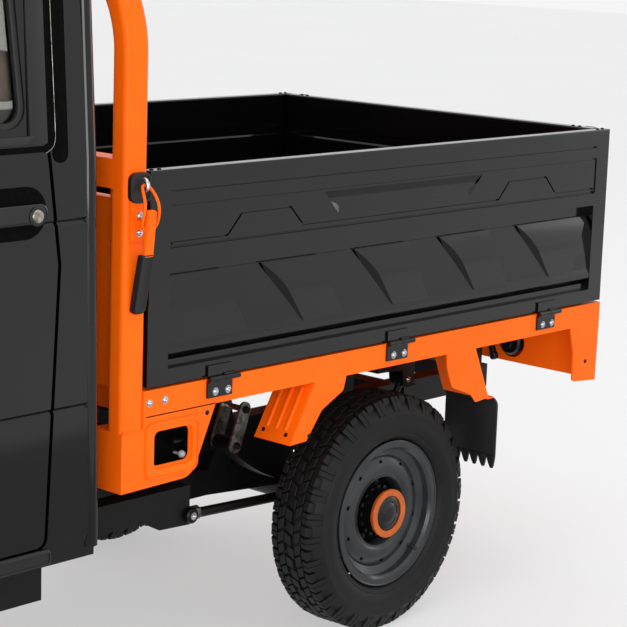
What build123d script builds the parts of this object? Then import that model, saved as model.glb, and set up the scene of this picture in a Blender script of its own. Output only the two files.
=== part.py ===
"""Electric mini truck: a two-seat cab, a tubular hoop and a three-way drop-side bed.

Frame: +X forward, +Y to the left, +Z up, millimetres. The origin is on the ground
under the middle of the vehicle's overall length.
"""
import os
from math import atan2, cos, degrees, hypot, radians, sin

from build123d import *

os.makedirs("parts", exist_ok=True)

# ---- driving dimensions: running gear ----
wheelbase = 1830.0
rear_axle_x = -746.0
track = 906.0
tyre_radius = 273.0
tyre_width = 147.0
tread_width = 104.0
rim_lip_radius = 169.5
rim_seat_radius = 152.0
rim_well_radius = 132.0
rim_half_width = 58.0
rim_sheet = 4.0
hub_radius = 48.0
spindle_radius = 15.0
running_clearance = 0.06
kingpin_offset = 101.0

# ---- driving dimensions: load bed ----
bed_front = 52.0
bed_length = 1538.0
bed_width = 1102.0
bed_over_tyre = 87.0
panel_height = 426.0
panel_thickness = 30.0
rail_height = 53.0
rail_depth = 45.0
moving_gap = 6.0
floor_sheet = 6.0
hinge_offset = 8.0
hinge_radius = 6.0
hinge_leaf = 4.5

# ---- driving dimensions: hoop ----
post_length = 59.0
post_width = 47.0
hoop_height = 889.0
hoop_bend = 216.0
post_foot_drop = 25.0
crossbar_drop = 33.0
crossbar_depth = 57.0

# ---- driving dimensions: cab ----
cab_width = 1120.0
cab_gap = 63.0
front_overhang = 421.0
cab_over_axle = 109.0
floor_rise = 36.0
side_height = 768.0
window_rise = 65.0
window_height = 285.0
window_drop = 60.0
roof_depth = 85.0
cab_wall = 36.0
floor_thickness = 18.0
arch_clearance = 72.0
door_inset = 32.0
door_gap = 8.0
glass_thickness = 5.0
bumper_proud = 6.0

# ---- derived places ----
front_axle_x = rear_axle_x + wheelbase
axle_z = tyre_radius
half_track = track / 2
bed_half = bed_width / 2
bed_rear = bed_front - bed_length
rail_bottom = 2 * tyre_radius + bed_over_tyre
rail_top = rail_bottom + rail_height
bed_height = rail_top + moving_gap
panel_top = bed_height + panel_height
post_rear = bed_front + moving_gap
post_front = post_rear + post_length
post_foot_z = rail_bottom - post_foot_drop
hoop_top = bed_height + hoop_height
crossbar_low = panel_top - crossbar_drop
crossbar_high = crossbar_low + crossbar_depth
hinge_y = bed_half + hinge_offset
hinge_z = rail_top
cab_half = cab_width / 2
cab_rear = post_front + cab_gap
cab_front = front_axle_x + front_overhang
cab_bottom = axle_z + cab_over_axle
floor_z = cab_bottom + floor_rise
belt_z = cab_bottom + side_height
window_low = belt_z + window_rise
window_high = window_low + window_height
roof_split = window_high + window_drop
roof_height = roof_split + roof_depth
door_front = front_axle_x - door_inset
arch_radius = tyre_radius + arch_clearance
front_split = front_axle_x - arch_radius


# ---- helpers ----
def block(x0, x1, y0, y1, z0, z1):
    """Box between three pairs of coordinates."""
    centre = ((x0 + x1) / 2, (y0 + y1) / 2, (z0 + z1) / 2)
    return Pos(*centre) * Box(abs(x1 - x0), abs(y1 - y0), abs(z1 - z0))


def outline(points, radii=None):
    """Closed polygon; radii maps a point's index to the fillet radius at that corner."""
    face = make_face(Polyline(*points, close=True))
    for index, radius in (radii or {}).items():
        target = points[index]
        corner = face.vertices().sort_by_distance((target[0], target[1], 0))[0]
        face = fillet(corner, radius)
    return face


def along_x(face, x0, x1):
    """Extrude a (y, z) outline from x0 to x1."""
    return extrude(Plane.YZ.offset(x0) * face, x1 - x0)


def along_y(face, y0, y1):
    """Extrude an (x, z) outline from y0 to y1."""
    low, high = min(y0, y1), max(y0, y1)
    return extrude(Plane.XZ.offset(-low) * face, low - high)


def along_z(face, z0, z1):
    """Extrude an (x, y) outline from z0 to z1."""
    return extrude(Plane.XY.offset(z0) * face, z1 - z0)


def rod(start, end, radius):
    """Round bar between two points."""
    origin = Vector(*start)
    axis = Vector(*end) - origin
    upright = (Align.CENTER, Align.CENTER, Align.MIN)
    return Plane(origin=origin, z_dir=axis) * Cylinder(radius, axis.length, align=upright)


def wheel_disc(radius, y0, y1, x=0.0, z=0.0):
    """Round disc about a transverse axis."""
    return rod((x, y0, z), (x, y1, z), radius)


def arch(radius, y0, y1):
    """Cylinder of the front wheel arch."""
    return wheel_disc(radius, y0, y1, front_axle_x, axle_z)


def flip(shape):
    """The same shape on the right-hand side."""
    return mirror(shape, about=Plane.XZ)


def both(shape):
    """A left-hand shape with its right-hand twin."""
    return [shape, flip(shape)]


def save(node, *shapes):
    """Write one node; its solids stay separate."""
    solids = [solid for shape in shapes for solid in shape.solids()]
    body = solids[0] if len(solids) == 1 else Compound(children=solids)
    export_step(body, f"parts/{node}.step")


# ---- wheels ----
def tyre(side_y, x):
    """Ring with a flat tread, round shoulders and bulged sidewalls."""
    bead = rim_seat_radius + 0.3
    bead_half = rim_half_width - 4.5
    profile = outline([
        (-bead_half, bead), (bead_half, bead), (bead_half, bead + 20), (tyre_width / 2, bead + 58),
        (tread_width / 2 + 9, tyre_radius - 14), (tread_width / 2, tyre_radius),
        (-tread_width / 2, tyre_radius), (-tread_width / 2 - 9, tyre_radius - 14),
        (-tyre_width / 2, bead + 58), (-bead_half, bead + 20),
    ], {3: 26, 8: 26, 4: 10, 7: 10})
    ring = revolve(Plane.XY * Rot(0, 0, 90) * Rot(180, 0, 0) * profile, Axis.Y)
    return Pos(x, side_y, axle_z) * ring


def rim(side, x):
    """Stepped steel barrel with lips, a bowl-shaped disc and a hub; side is +1 on the left."""
    lip, seat, well, half, t = rim_lip_radius, rim_seat_radius, rim_well_radius, rim_half_width, rim_sheet
    tyre_side = [(half - t, lip), (half - t, seat), (34, seat), (26, well), (-26, well), (-34, seat),
                 (t - half, seat), (t - half, lip)]
    air_side = [(-half, lip), (-half, seat + 2), (6 - half, seat - t), (-36.5, seat - t), (-28.5, well - t),
                (28.5, well - t), (36.5, seat - t), (half - 6, seat - t), (half, seat + 2), (half, lip)]
    profile = outline(tyre_side + air_side)
    barrel = revolve(Plane.XY * Rot(0, 0, 90) * Rot(180, 0, 0) * profile, Axis.Y)
    bowl = outline([(24, well - 2), (18, 98), (10, 86), (-6, 82), (-10, 88), (5, 91), (12, 103),
                    (18, well - 2)], {1: 14, 2: 6, 5: 6, 6: 12})
    dish = revolve(Plane.XY * Rot(0, 0, 90) * Rot(180, 0, 0) * bowl, Axis.Y) + wheel_disc(86, -10, -4)
    hub = wheel_disc(hub_radius, -10, rim_half_width - 8)
    bore = wheel_disc(spindle_radius + running_clearance, -12, 30)
    wheel = barrel + dish + hub - bore
    if side < 0:
        wheel = flip(wheel)
    return Pos(x, side * half_track, axle_z) * wheel


for corner, x, side in (("front_left", front_axle_x, 1), ("front_right", front_axle_x, -1),
                        ("rear_left", rear_axle_x, 1), ("rear_right", rear_axle_x, -1)):
    save(f"tyre_{corner}", tyre(side * half_track, x))
    save(f"wheel_{corner}", rim(side, x))


# ---- running gear ----
drum_radius = 92.0
hub_face = 10.0
drum_depth = 42.0
drum_gap = 4.0
axle_tube_radius = 36.0
drum_inner = half_track - hub_face - drum_gap - drum_depth
drum_outer = half_track - hub_face - drum_gap
spindle_end = half_track + 26.0
spring_y = drum_inner - 97.0
spring_width = 50.0
spring_leaf = 8.0
spring_front_x = rear_axle_x + 322.0
spring_rear_x = rear_axle_x - 360.0
spring_eye_z = axle_z + 178.0
spring_rear_z = axle_z + 142.0
spring_eye_radius = 17.0
spring_seat_z = axle_z + axle_tube_radius + 6.0
shackle_top = (spring_front_x - 27.0, spring_eye_z + 78.0)
shackle_pin = 6.8
upper_rail_y = spring_y - 70.0
upper_rail_half = 25.0
locating_y = drum_inner - 47.0
shock_y = drum_inner - 47.0
shock_top = (rear_axle_x - 220.0, rail_bottom - 103.0)
shock_foot = (rear_axle_x - 62.0, axle_z + 19.0)
locating_front = (rear_axle_x + 496.0, axle_z + 56.0)
locating_rear = (rear_axle_x + 62.0, axle_z + 37.0)
locating_radius = 11.0
gearbox_inner = 72.0
gearbox_outer = 150.0


def rear_axle():
    """Axle tube with a gearbox and motor right of the middle, drums and stub ends."""
    tube = wheel_disc(axle_tube_radius, -drum_inner, drum_inner, rear_axle_x, axle_z)
    housing = wheel_disc(80, -gearbox_outer, -gearbox_inner, rear_axle_x, axle_z)
    motor = wheel_disc(74, 60 - spring_y, 1 - gearbox_outer, rear_axle_x, axle_z)
    axle = tube + housing + motor
    for side in (1, -1):
        axle += wheel_disc(drum_radius, side * drum_inner, side * drum_outer, rear_axle_x, axle_z)
        axle += wheel_disc(spindle_radius, side * drum_outer, side * spindle_end, rear_axle_x, axle_z)
        y0, y1 = side * (spring_y - spring_width / 2), side * (spring_y + spring_width / 2)
        axle += block(rear_axle_x - 45, rear_axle_x + 45, y0, y1, axle_z, spring_seat_z)
        for end in (shock_foot, locating_rear):
            lug = outline([(rear_axle_x, axle_z - 20), (rear_axle_x, axle_z + 24), (end[0], end[1] + 16),
                           (end[0] + (16 if end[0] > rear_axle_x else -16), end[1]), (end[0], end[1] - 16)])
            axle += along_y(lug, side * (shock_y - 24), side * (shock_y - 18))
            axle += wheel_disc(6, side * (shock_y - 24), side * (shock_y + 18), *end)
    return axle


def leaf_spring():
    """One arched pack of three leaves with an eye at each end."""
    y0, y1 = spring_y - spring_width / 2, spring_y + spring_width / 2
    middle = (rear_axle_x, spring_seat_z)
    lift = spring_leaf
    front = (spring_front_x, spring_eye_z - spring_eye_radius)
    rear = (spring_rear_x, spring_rear_z - spring_eye_radius)
    edges = [Line(front, (front[0], front[1] + lift)), Line(rear, (rear[0], rear[1] + lift))]
    for rise in (0, lift):
        centre = (middle[0], middle[1] + rise)
        edges.append(TangentArc(centre, (front[0], front[1] + rise), tangent=(1, 0)))
        edges.append(TangentArc(centre, (rear[0], rear[1] + rise), tangent=(-1, 0)))
    main = along_y(make_face(edges), y0, y1)
    pack = main
    for index, reach in ((1, 230.0), (2, 140.0)):
        pack += block(rear_axle_x - reach * 0.4, rear_axle_x + reach * 0.4, y0, y1,
                      spring_seat_z + lift * 0.5, spring_seat_z + lift * (1 + index))
    for x, z in ((spring_front_x, spring_eye_z), (spring_rear_x, spring_rear_z)):
        pack += wheel_disc(spring_eye_radius, y0, y1, x, z) - wheel_disc(7, y0 - 1, y1 + 1, x, z)
    return pack


def shackle():
    """Two link plates with pins, from the spring's front eye up to the frame."""
    low, high = (spring_front_x, spring_eye_z), shackle_top
    angle = degrees(atan2(high[1] - low[1], high[0] - low[0]))
    length = hypot(high[0] - low[0], high[1] - low[1])
    plates = []
    for y in (spring_y - spring_width / 2 - 7, spring_y + spring_width / 2 + 1):
        link = SlotCenterToCenter(length, 34)
        spot = Pos((low[0] + high[0]) / 2, (low[1] + high[1]) / 2)
        plates.append(along_y(spot * Rot(0, 0, angle) * link, y, y + 6))
    piece = plates[0] + plates[1]
    for x, z in (low, high):
        inner = upper_rail_y + upper_rail_half + 1 if z == high[1] else spring_y - spring_width / 2 - 9
        piece += wheel_disc(shackle_pin, inner, spring_y + spring_width / 2 + 12, x, z)
    return piece


def shock():
    """Damper body and rod with an eye at each end."""
    top = (shock_top[0], shock_y, shock_top[1])
    foot = (shock_foot[0], shock_y, shock_foot[1])
    span = Vector(*top) - Vector(*foot)
    middle = Vector(*foot) + span * 0.55
    low, high = Vector(*foot) + span * 0.04, Vector(*top) - span * 0.04
    piece = rod(tuple(low), tuple(middle), 17) + rod(tuple(middle), tuple(high), 9)
    for point in (top, foot):
        piece += wheel_disc(15, shock_y - 14, shock_y + 14, point[0], point[2])
        piece -= wheel_disc(6.3, shock_y - 20, shock_y + 20, point[0], point[2])
    return piece


def locating_rod():
    """Trailing rod from the frame's rear bracket back to the axle."""
    front = (locating_front[0], locating_y, locating_front[1])
    rear = (locating_rear[0], locating_y, locating_rear[1])
    piece = rod(front, rear, locating_radius)
    for point in (front, rear):
        piece += wheel_disc(15, locating_y - 14, locating_y + 14, point[0], point[2])
        piece -= wheel_disc(6.3, locating_y - 20, locating_y + 20, point[0], point[2])
    return piece


save("rear_axle", rear_axle())
save("rear_springs", *both(leaf_spring()))
save("spring_shackles", *both(shackle()))
save("rear_shocks", *both(shock()))
save("locating_rods", *both(locating_rod()))

# ---- steering and front suspension ----
kingpin_y = half_track - kingpin_offset
arm_top = axle_z - 93.0
arm_depth = 15.0
upright_low = arm_top + moving_gap - 1
upright_high = axle_z + 93.0
pin_radius = 8.0
pin_reach = 32.0
front_rail_y = kingpin_y - 142.0
front_rail_half = 22.0
strut_foot = upright_high + moving_gap - 1
strut_radius = 21.0
steer_arm = 110.0
rack_z = axle_z + 3.0
rack_radius = 11.0


def knuckle():
    """Upright with a brake drum, wheel spindle and steering arm."""
    x, y = front_axle_x, kingpin_y
    piece = block(x - 24, x + 24, y - 16, y + 16, upright_low, upright_high)
    piece += wheel_disc(34, y, drum_inner, x, axle_z)
    piece += wheel_disc(drum_radius, drum_inner, drum_outer, x, axle_z)
    piece += wheel_disc(spindle_radius, drum_outer, spindle_end, x, axle_z)
    piece += block(x - steer_arm - 14, x, y - 26, y - 4, rack_z - 32, rack_z - 20)
    for low, high in ((upright_low - 1, upright_low + pin_reach),
                      (upright_high - pin_reach, upright_high + 1)):
        piece -= rod((x, y, low), (x, y, high), pin_radius + running_clearance)
    return piece


def lower_arm():
    """Three-cornered arm with a ball stud at its outer end."""
    x, y = front_axle_x, kingpin_y
    rail = front_rail_y + front_rail_half
    face = outline([(x - 22, y + 20), (x + 22, y + 20), (x + 92, rail), (x - 92, rail)], {0: 12, 1: 12})
    window = outline([(x, y - 40), (x + 50, rail + 20), (x - 50, rail + 20)], {0: 8, 1: 8, 2: 8})
    piece = along_z(face, arm_top - arm_depth, arm_top) - along_z(window, arm_top - 20, arm_top + 1)
    return piece + rod((x, y, arm_top - 2), (x, y, arm_top + 5 + pin_reach - 3), pin_radius)


def strut():
    """Damper leg with a spring between its seats, up to the wheel housing."""
    x, y = front_axle_x, kingpin_y
    top = axle_z + arch_radius
    piece = rod((x, y, strut_foot), (x, y, top), strut_radius)
    piece += rod((x, y, strut_foot - pin_reach), (x, y, strut_foot), pin_radius)
    for z in (top - 62, top - 14):
        piece += rod((x, y, z), (x, y, z + 8), 44)
    return piece & arch(arch_radius, 0, cab_half)


def rack():
    """Steering rack bar with a tie rod and ball end at each side."""
    x = front_axle_x - steer_arm
    end = kingpin_y - 15
    piece = rod((x, -end, rack_z), (x, end, rack_z), rack_radius)
    for side in (1, -1):
        piece += rod((x, side * end, rack_z - 13), (x, side * end, rack_z + 13), 14)
    return piece


def rack_housing():
    """Tube around the rack bar, clamped to the front rails, with a pinion box."""
    x = front_axle_x - steer_arm
    half = front_rail_y + front_rail_half
    piece = wheel_disc(24, -half + 70, half - 70, x, rack_z)
    piece += block(x - 26, x + 26, 40, 95, rack_z - 28, rack_z + 44)
    for side in (1, -1):
        piece += block(x - 20, x + 20, side * (half - 92), side * (half - 32), rack_z - 20, chassis_low)
    return piece - wheel_disc(rack_radius + running_clearance, -half, half, x, rack_z)


rail_section = 60.0
mount_pad = 14.0
chassis_high = floor_z - mount_pad
chassis_low = chassis_high - rail_section
low_rail_y = half_track - 103.0
low_rail_half = 25.0
low_rail_rear = rear_axle_x + 531.0
low_rail_end = rear_axle_x + 503.0
kick_x = rear_axle_x + 239.0
low_rail_front = front_split - 49.0
upper_low = chassis_high + 21.0
upper_high = upper_low + rail_section
cross_width = 60.0
tow_eye_x = cab_front - 38.0
tow_eye_z = chassis_low + 2.0
tow_eye_radius = 14.0
tow_eye_plate = 14.0
riser_places = (bed_front - 37, low_rail_rear + 30, rear_axle_x - 130, bed_rear + 110)


def chassis_frame():
    """Welded frame: low rails under the cab, kicked up over the rear axle."""
    pieces = []
    front_end = cab_front - 70
    rail_end = bed_rear + 60
    low_in, low_out = low_rail_y - low_rail_half, low_rail_y + low_rail_half
    up_in, up_out = upper_rail_y - upper_rail_half, upper_rail_y + upper_rail_half
    front_in, front_out = front_rail_y - front_rail_half, front_rail_y + front_rail_half
    gusset = outline([(low_rail_end + 138, chassis_low + 2), (low_rail_end + 87, chassis_low - 24),
                      (low_rail_end + 1, chassis_low - 28), (locating_front[0] - 16, locating_front[1] - 9),
                      (locating_front[0] - 14, locating_front[1] + 12), (low_rail_end, chassis_low + 14)],
                     {3: 7, 4: 7})
    kick = outline([(kick_x + 112, chassis_low), (kick_x + 37, chassis_low), (kick_x + 2, upper_low + 5),
                    (kick_x + 67, upper_low + 5)])
    for side in (1, -1):
        pieces.append(block(low_rail_end, low_rail_front, side * low_in, side * low_out,
                            chassis_low, chassis_high))
        pieces.append(block(kick_x, low_rail_rear + 30, side * up_in, side * up_out,
                            chassis_low - 21, chassis_high - 21))
        pieces.append(along_y(kick, side * up_in, side * up_out))
        pieces.append(block(rail_end, bed_front - 12, side * up_in, side * up_out, upper_low, upper_high))
        pieces.append(block(low_rail_front - cross_width, front_end, side * front_in, side * front_out,
                            chassis_low, chassis_high))
        for y in (low_in, low_out - 8):
            pieces.append(along_y(gusset, side * y, side * (y + 8)))
        pieces.append(wheel_disc(6, side * low_in, side * (low_out + 4), *locating_front))
        for x in (low_rail_front - 60, front_end - 100):
            y = side * (low_rail_y if x < low_rail_front - 50 else front_rail_y)
            pieces.append(rod((x, y, chassis_high - 1), (x, y, floor_z), 22))
        for x in riser_places:
            pieces.append(block(x - 25, x + 25, side * up_in, side * up_out, upper_high - 1, rail_bottom))
        arm = outline([(riser_places[2] + 25, rail_bottom), (shock_top[0] - 30, rail_bottom),
                       (shock_top[0] - 20, shock_top[1] + 26), (riser_places[2] + 25, shock_top[1] + 30)])
        pieces.append(along_y(arm, side * (up_out - 2), side * (shock_y + 22)))
        for y in (shock_y - 22, shock_y + 15):
            ear = outline([(shock_top[0] - 22, shock_top[1] + 40), (shock_top[0] + 26, shock_top[1] + 40),
                           (shock_top[0] + 18, shock_top[1] - 18), (shock_top[0] - 18, shock_top[1] - 18)],
                          {2: 12, 3: 12})
            pieces.append(along_y(ear, side * y, side * (y + 7)))
        pieces.append(wheel_disc(6, side * (shock_y - 20), side * (shock_y + 20), *shock_top))
        pin_x, pin_z = shackle_top
        hanger = outline([(pin_x - 40, upper_high - 30), (pin_x + 34, upper_high - 30),
                          (pin_x + 20, pin_z + 20), (pin_x - 20, pin_z + 20)], {2: 12, 3: 12})
        tail = outline([(spring_rear_x - 26, upper_high - 10), (spring_rear_x + 26, upper_high - 10),
                        (spring_rear_x + 20, spring_rear_z - 18), (spring_rear_x - 20, spring_rear_z - 18)],
                       {2: 12, 3: 12})
        pieces.append(along_y(hanger, side * (up_out - 1), side * (up_out + 9))
                      - wheel_disc(shackle_pin + 0.1, side * up_in, side * (up_out + 20), *shackle_top))
        pieces.append(along_y(tail, side * (up_out - 1), side * (up_out + 9)))
        pieces.append(wheel_disc(shackle_pin, side * up_out, side * (spring_y + spring_width / 2 + 4),
                                 spring_rear_x, spring_rear_z))
        pieces.append(block(front_axle_x - 88, front_axle_x + 88, side * front_in, side * front_out,
                            arm_top - arm_depth - 4, chassis_low + 1))
        pieces.append(block(bed_front - 62, bed_front - 12, side * up_in, side * up_out,
                            chassis_high - 1, upper_low + 1))
    for x in (low_rail_rear, low_rail_front - cross_width):
        pieces.append(block(x, x + cross_width, -low_out, low_out, chassis_low, chassis_high))
    pieces.append(block(low_rail_rear, low_rail_rear + cross_width, -up_out, up_out,
                        chassis_high - 1, upper_high))
    pieces.append(block(bed_front - 62, bed_front - 12, -low_out, low_out, chassis_low, chassis_high))
    pieces.append(block(front_end - 50, front_end, -front_out, front_out, chassis_low, chassis_high))
    pieces.append(block(front_axle_x - 30, front_axle_x + 30, -front_in, front_in, arm_top, arm_top + 50))
    for x in (rear_axle_x + 250, rear_axle_x - 330, rail_end + 25):
        pieces.append(block(x - 25, x + 25, -up_in, up_in, upper_low + 8, upper_high - 8))
    frame = pieces[0]
    for piece in pieces[1:]:
        frame += piece
    plate = outline([(front_end - 40, chassis_low + 1), (front_end - 40, tow_eye_z - 10),
                     (tow_eye_x, tow_eye_z - 24), (tow_eye_x + 24, tow_eye_z),
                     (tow_eye_x, tow_eye_z + 24), (front_end - 1, chassis_low + 30)],
                    {2: 10, 3: 16, 4: 10})
    eye = along_y(plate, -tow_eye_plate / 2, tow_eye_plate / 2)
    return frame + eye - wheel_disc(tow_eye_radius, -20, 20, tow_eye_x, tow_eye_z)


for name, mirrored in (("knuckle_left", False), ("knuckle_right", True)):
    upright = knuckle()
    save(name, flip(upright) if mirrored else upright)
save("front_suspension", *both(lower_arm()), *both(strut()))
save("steering_rack", rack())
save("rack_housing", rack_housing())
save("chassis_frame", chassis_frame())

# ---- battery ----
battery_low = chassis_high - 189.0
battery_rear = bed_front + 68.0
battery_front = front_split - 139.0


def battery_box():
    """Closed battery case hung between the low rails by its top flange."""
    inside = low_rail_y - low_rail_half - 6
    case = block(battery_rear, battery_front, -inside, inside, battery_low, chassis_high)
    rest = low_rail_y + 12
    return case + block(battery_rear, battery_front, -rest, rest, chassis_high, chassis_high + 6)


save("battery_box", battery_box())


# ---- load bed ----
rail_y = bed_half - rail_depth
panel_inner = bed_half - panel_thickness
floor_half = panel_inner - moving_gap
hinge_first = bed_front - 162.0
hinge_last = bed_rear + 266.0
hinge_places = (hinge_first, (hinge_first + hinge_last) / 2, hinge_last)
hinge_length = 70.0
barrel_over = 15.0
tail_recess = 14.0
tail_sheet = 6.0
tail_low = rail_bottom - 140.0
lamp_y = upper_rail_y + 70.0
lamp_z = tail_low + 52.0
lamp_radius = 40.0


def bed_frame():
    """Orange perimeter rails with cross members under the floor."""
    frame = block(bed_rear, post_rear, rail_y, bed_half, rail_bottom, rail_top)
    frame += block(bed_rear, post_rear, -bed_half, -rail_y, rail_bottom, rail_top)
    places = [post_rear - 25, bed_rear + 25, *riser_places[1:]]
    places += [(riser_places[1] + riser_places[2]) / 2, (riser_places[2] + riser_places[3]) / 2]
    for x in places:
        frame += block(x - 25, x + 25, -rail_y - 1, rail_y + 1, rail_bottom, rail_top)
    return frame


def bed_floor():
    """Flat load floor between the drop sides."""
    return block(bed_rear + panel_thickness + moving_gap, post_rear, -floor_half, floor_half,
                 rail_top, rail_top + floor_sheet)


panel_stile = 54.0
panel_skin = 5.0
lobe_pitch = 290.0
lobe_width = 124.0
lobe_depth = 16.0
lobe_foot = 82.0
overhang_rise = 60.0
top_rail = 41.0
top_strip = 29.0
badge_band = 83.0
lobe_rise = panel_height - lobe_foot - overhang_rise - badge_band - top_strip - top_rail
groove = 5.0


def lobe_wedge(front, rear, lean_front, lean_rear, y_outer):
    """Wedge that trims one lobe: its edges lean back towards the foot and slope in towards the skin."""
    low, high = bed_height + lobe_foot - 8, bed_height + lobe_foot + lobe_rise + 8
    faces = []
    for depth, grow_front, grow_rear in ((2.0, 0, 0), (2.0 + lobe_depth, 26, 16)):
        points = [(front + grow_front, low), (rear - grow_rear, low),
                  (rear - grow_rear + (high - low) * lean_rear, high),
                  (front + grow_front + (high - low) * lean_front, high)]
        faces.append(Plane.XZ.offset(depth - y_outer) * outline(points))
    return loft(faces)


def lobe_band(length, y_outer):
    """Ledge and convex lobes that fill the lower pocket of a panel."""
    low = bed_height
    skin = panel_thickness - panel_skin - 1
    foot, top = low + lobe_foot - 2, low + lobe_foot + lobe_rise
    brow = foot + lobe_rise * 0.47
    step = Polyline((y_outer - 23, top), (y_outer - skin - 1, top), (y_outer - skin - 1, low + 30),
                    (y_outer - 12, low + 30), (y_outer - 12, low + 46), (y_outer - 1, low + 61),
                    (y_outer - 1, low + 70), (y_outer - 5, foot + 4))
    belly = foot + lobe_rise * 0.55
    hollow = ThreePointArc((y_outer - 5, foot + 4), (y_outer - 13, belly), (y_outer - 23, top))
    bulge = Line((y_outer - 2, foot), (y_outer - 2, brow))
    crown = TangentArc((y_outer - 2, brow), (y_outer - 18, top), tangent=(0, 1))
    back = Polyline((y_outer - 18, top), (y_outer - skin, top), (y_outer - skin, foot), (y_outer - 2, foot))
    form = make_face(bulge + crown + back)
    x0, x1 = -length + panel_stile - 1, 1 - panel_stile
    band = along_x(make_face(step + hollow), x0, x1)
    lobes = along_x(form, x0, x1)
    count = round((length - 2 * panel_stile) / lobe_pitch)
    for index in range(count):
        start = 22.0 if index == 0 else -286.0 - lobe_pitch * (index - 1) - (lobe_pitch - lobe_width)
        last = index == count - 1
        end = -length + 130 if last else -286.0 - lobe_pitch * index
        band += lobes & lobe_wedge(start, end, 0.7, -0.38 if last else 0.6, y_outer)
    return band


def badge_outline(length):
    """Upper band with one raised step near each end of its lower edge."""
    low = panel_top - top_rail - top_strip - badge_band
    steps = [(panel_stile + 4, 12), (length * 0.139, 12), (length * 0.165, 54), (length * 0.259, 54),
             (length * 0.284, 14)]
    front = [(-x, low + z) for x, z in steps]
    rear = [(x - length, low + z) for x, z in reversed(steps)]
    return outline([(front[0][0], low), *front, *rear, (rear[-1][0], low)])


def pressed_panel(length, y_outer):
    """Upright panel from x = 0 back to -length with pressed bands on its outer face."""
    low, high = bed_height, panel_top
    panel = block(-length, 0, y_outer - panel_thickness, y_outer, low, high)
    edges = panel.edges().filter_by(Axis.X).group_by(Axis.Z)[-1] + panel.edges().filter_by(Axis.Z)
    panel = fillet(edges, 3.5)
    x0, x1 = -length + panel_stile, -panel_stile
    skin_y = y_outer - panel_thickness + panel_skin
    band_top = high - top_rail - top_strip
    band_low = band_top - badge_band
    panel -= block(x0, x1, skin_y, y_outer + 1, low + 31, band_low - 32)
    panel += lobe_band(length, y_outer)
    panel -= block(x0 - 3, x1 + 3, y_outer - 2.5, y_outer + 1, band_low, band_top)
    badge = badge_outline(length)
    trace = badge - offset(badge, -groove * 0.8, kind=Kind.INTERSECTION)
    panel -= along_y(trace, y_outer - 7, y_outer + 1)
    peak = []
    for depth, run, slope in ((2.4, 0, 0), (6.0, 7, 16)):
        edge = length * 0.325 + run
        points = [(-edge, band_top - 7 - slope), (-edge - 45, band_low + 27 + slope),
                  (edge + 45 - length, band_low + 27 + slope), (edge - length, band_top - 7 - slope)]
        peak.append(Plane.XZ.offset(depth - y_outer) * outline(points))
    panel -= loft(peak)
    for z in (high - top_rail, band_top, band_low):
        panel -= block(x0, x1, y_outer - groove, y_outer + 1, z - groove / 2, z + groove / 2)
    inner = y_outer - panel_thickness
    for share in (0.14, 0.35, 0.56, 0.77):
        z = low + panel_height * share
        cut = outline([(inner - 1, z - 16), (inner - 1, z + 16), (inner + 3, z + 10), (inner + 3, z - 10)])
        panel -= along_x(cut, x0, x1)
    return panel


def hinge_leaves(x, y, low):
    """One hinge seen from the left: the fixed leaf when low, else the moving leaf."""
    half = (hinge_length + barrel_over) / 2
    if low:
        leaf = block(x - hinge_length, x, y, y + hinge_leaf, rail_top - 39, rail_top - 7)
        barrel = rod((x - half + 0.5, hinge_y, hinge_z), (x, hinge_y, hinge_z), hinge_radius)
        web = block(x - half + 0.5, x, y, hinge_y, rail_top - 8, rail_top - 3)
    else:
        leaf = block(x - hinge_length, x, y - 0.5, y + hinge_leaf, bed_height, bed_height + 22)
        barrel = rod((x - 2 * half, hinge_y, hinge_z), (x - half - 0.5, hinge_y, hinge_z), hinge_radius)
        web = block(x - 2 * half + barrel_over, x - half - 0.5, y - 0.5, hinge_y,
                    rail_top + 3, bed_height + 3)
    return leaf + barrel + web


def side_panel():
    """Left drop side with its three hinge leaves."""
    panel = Pos(bed_front, 0, 0) * pressed_panel(bed_length, bed_half)
    for x in hinge_places:
        panel += hinge_leaves(x, bed_half, False)
    return panel


tail_half = panel_inner - moving_gap
tail_hinge = tail_half - 165.0
tail_hinges = (tail_hinge, hinge_length + barrel_over - tail_hinge)


def tail_turn(shape):
    """Swing a left-side shape round to the tail: its outer face looks backwards."""
    return Pos(bed_rear + bed_half, 0, 0) * Rot(0, 0, 90) * shape


def tailgate():
    """Drop tailgate between the side panels with its hinge leaves."""
    gate = Pos(tail_half, 0, 0) * pressed_panel(2 * tail_half, bed_half)
    for y in tail_hinges:
        gate += hinge_leaves(y, bed_half, False)
    return tail_turn(gate)


save("side_panel_left", side_panel())
save("side_panel_right", flip(side_panel()))
save("tailgate", tailgate())
save("bed_frame", bed_frame())
save("bed_floor", bed_floor())
fixed_leaves = [hinge_leaves(x, bed_half, True) for x in hinge_places]
tail_leaves = [tail_turn(hinge_leaves(y, bed_half, True)) for y in tail_hinges]
save("bed_hinges", *fixed_leaves, *[flip(leaf) for leaf in fixed_leaves], *tail_leaves)

# ---- hoop, headboard and corner boxes ----
post_x = (post_rear + post_front) / 2
post_rounding = 13.0
crossbar_inset = 8.0
headboard_sheet = 26.0


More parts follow.
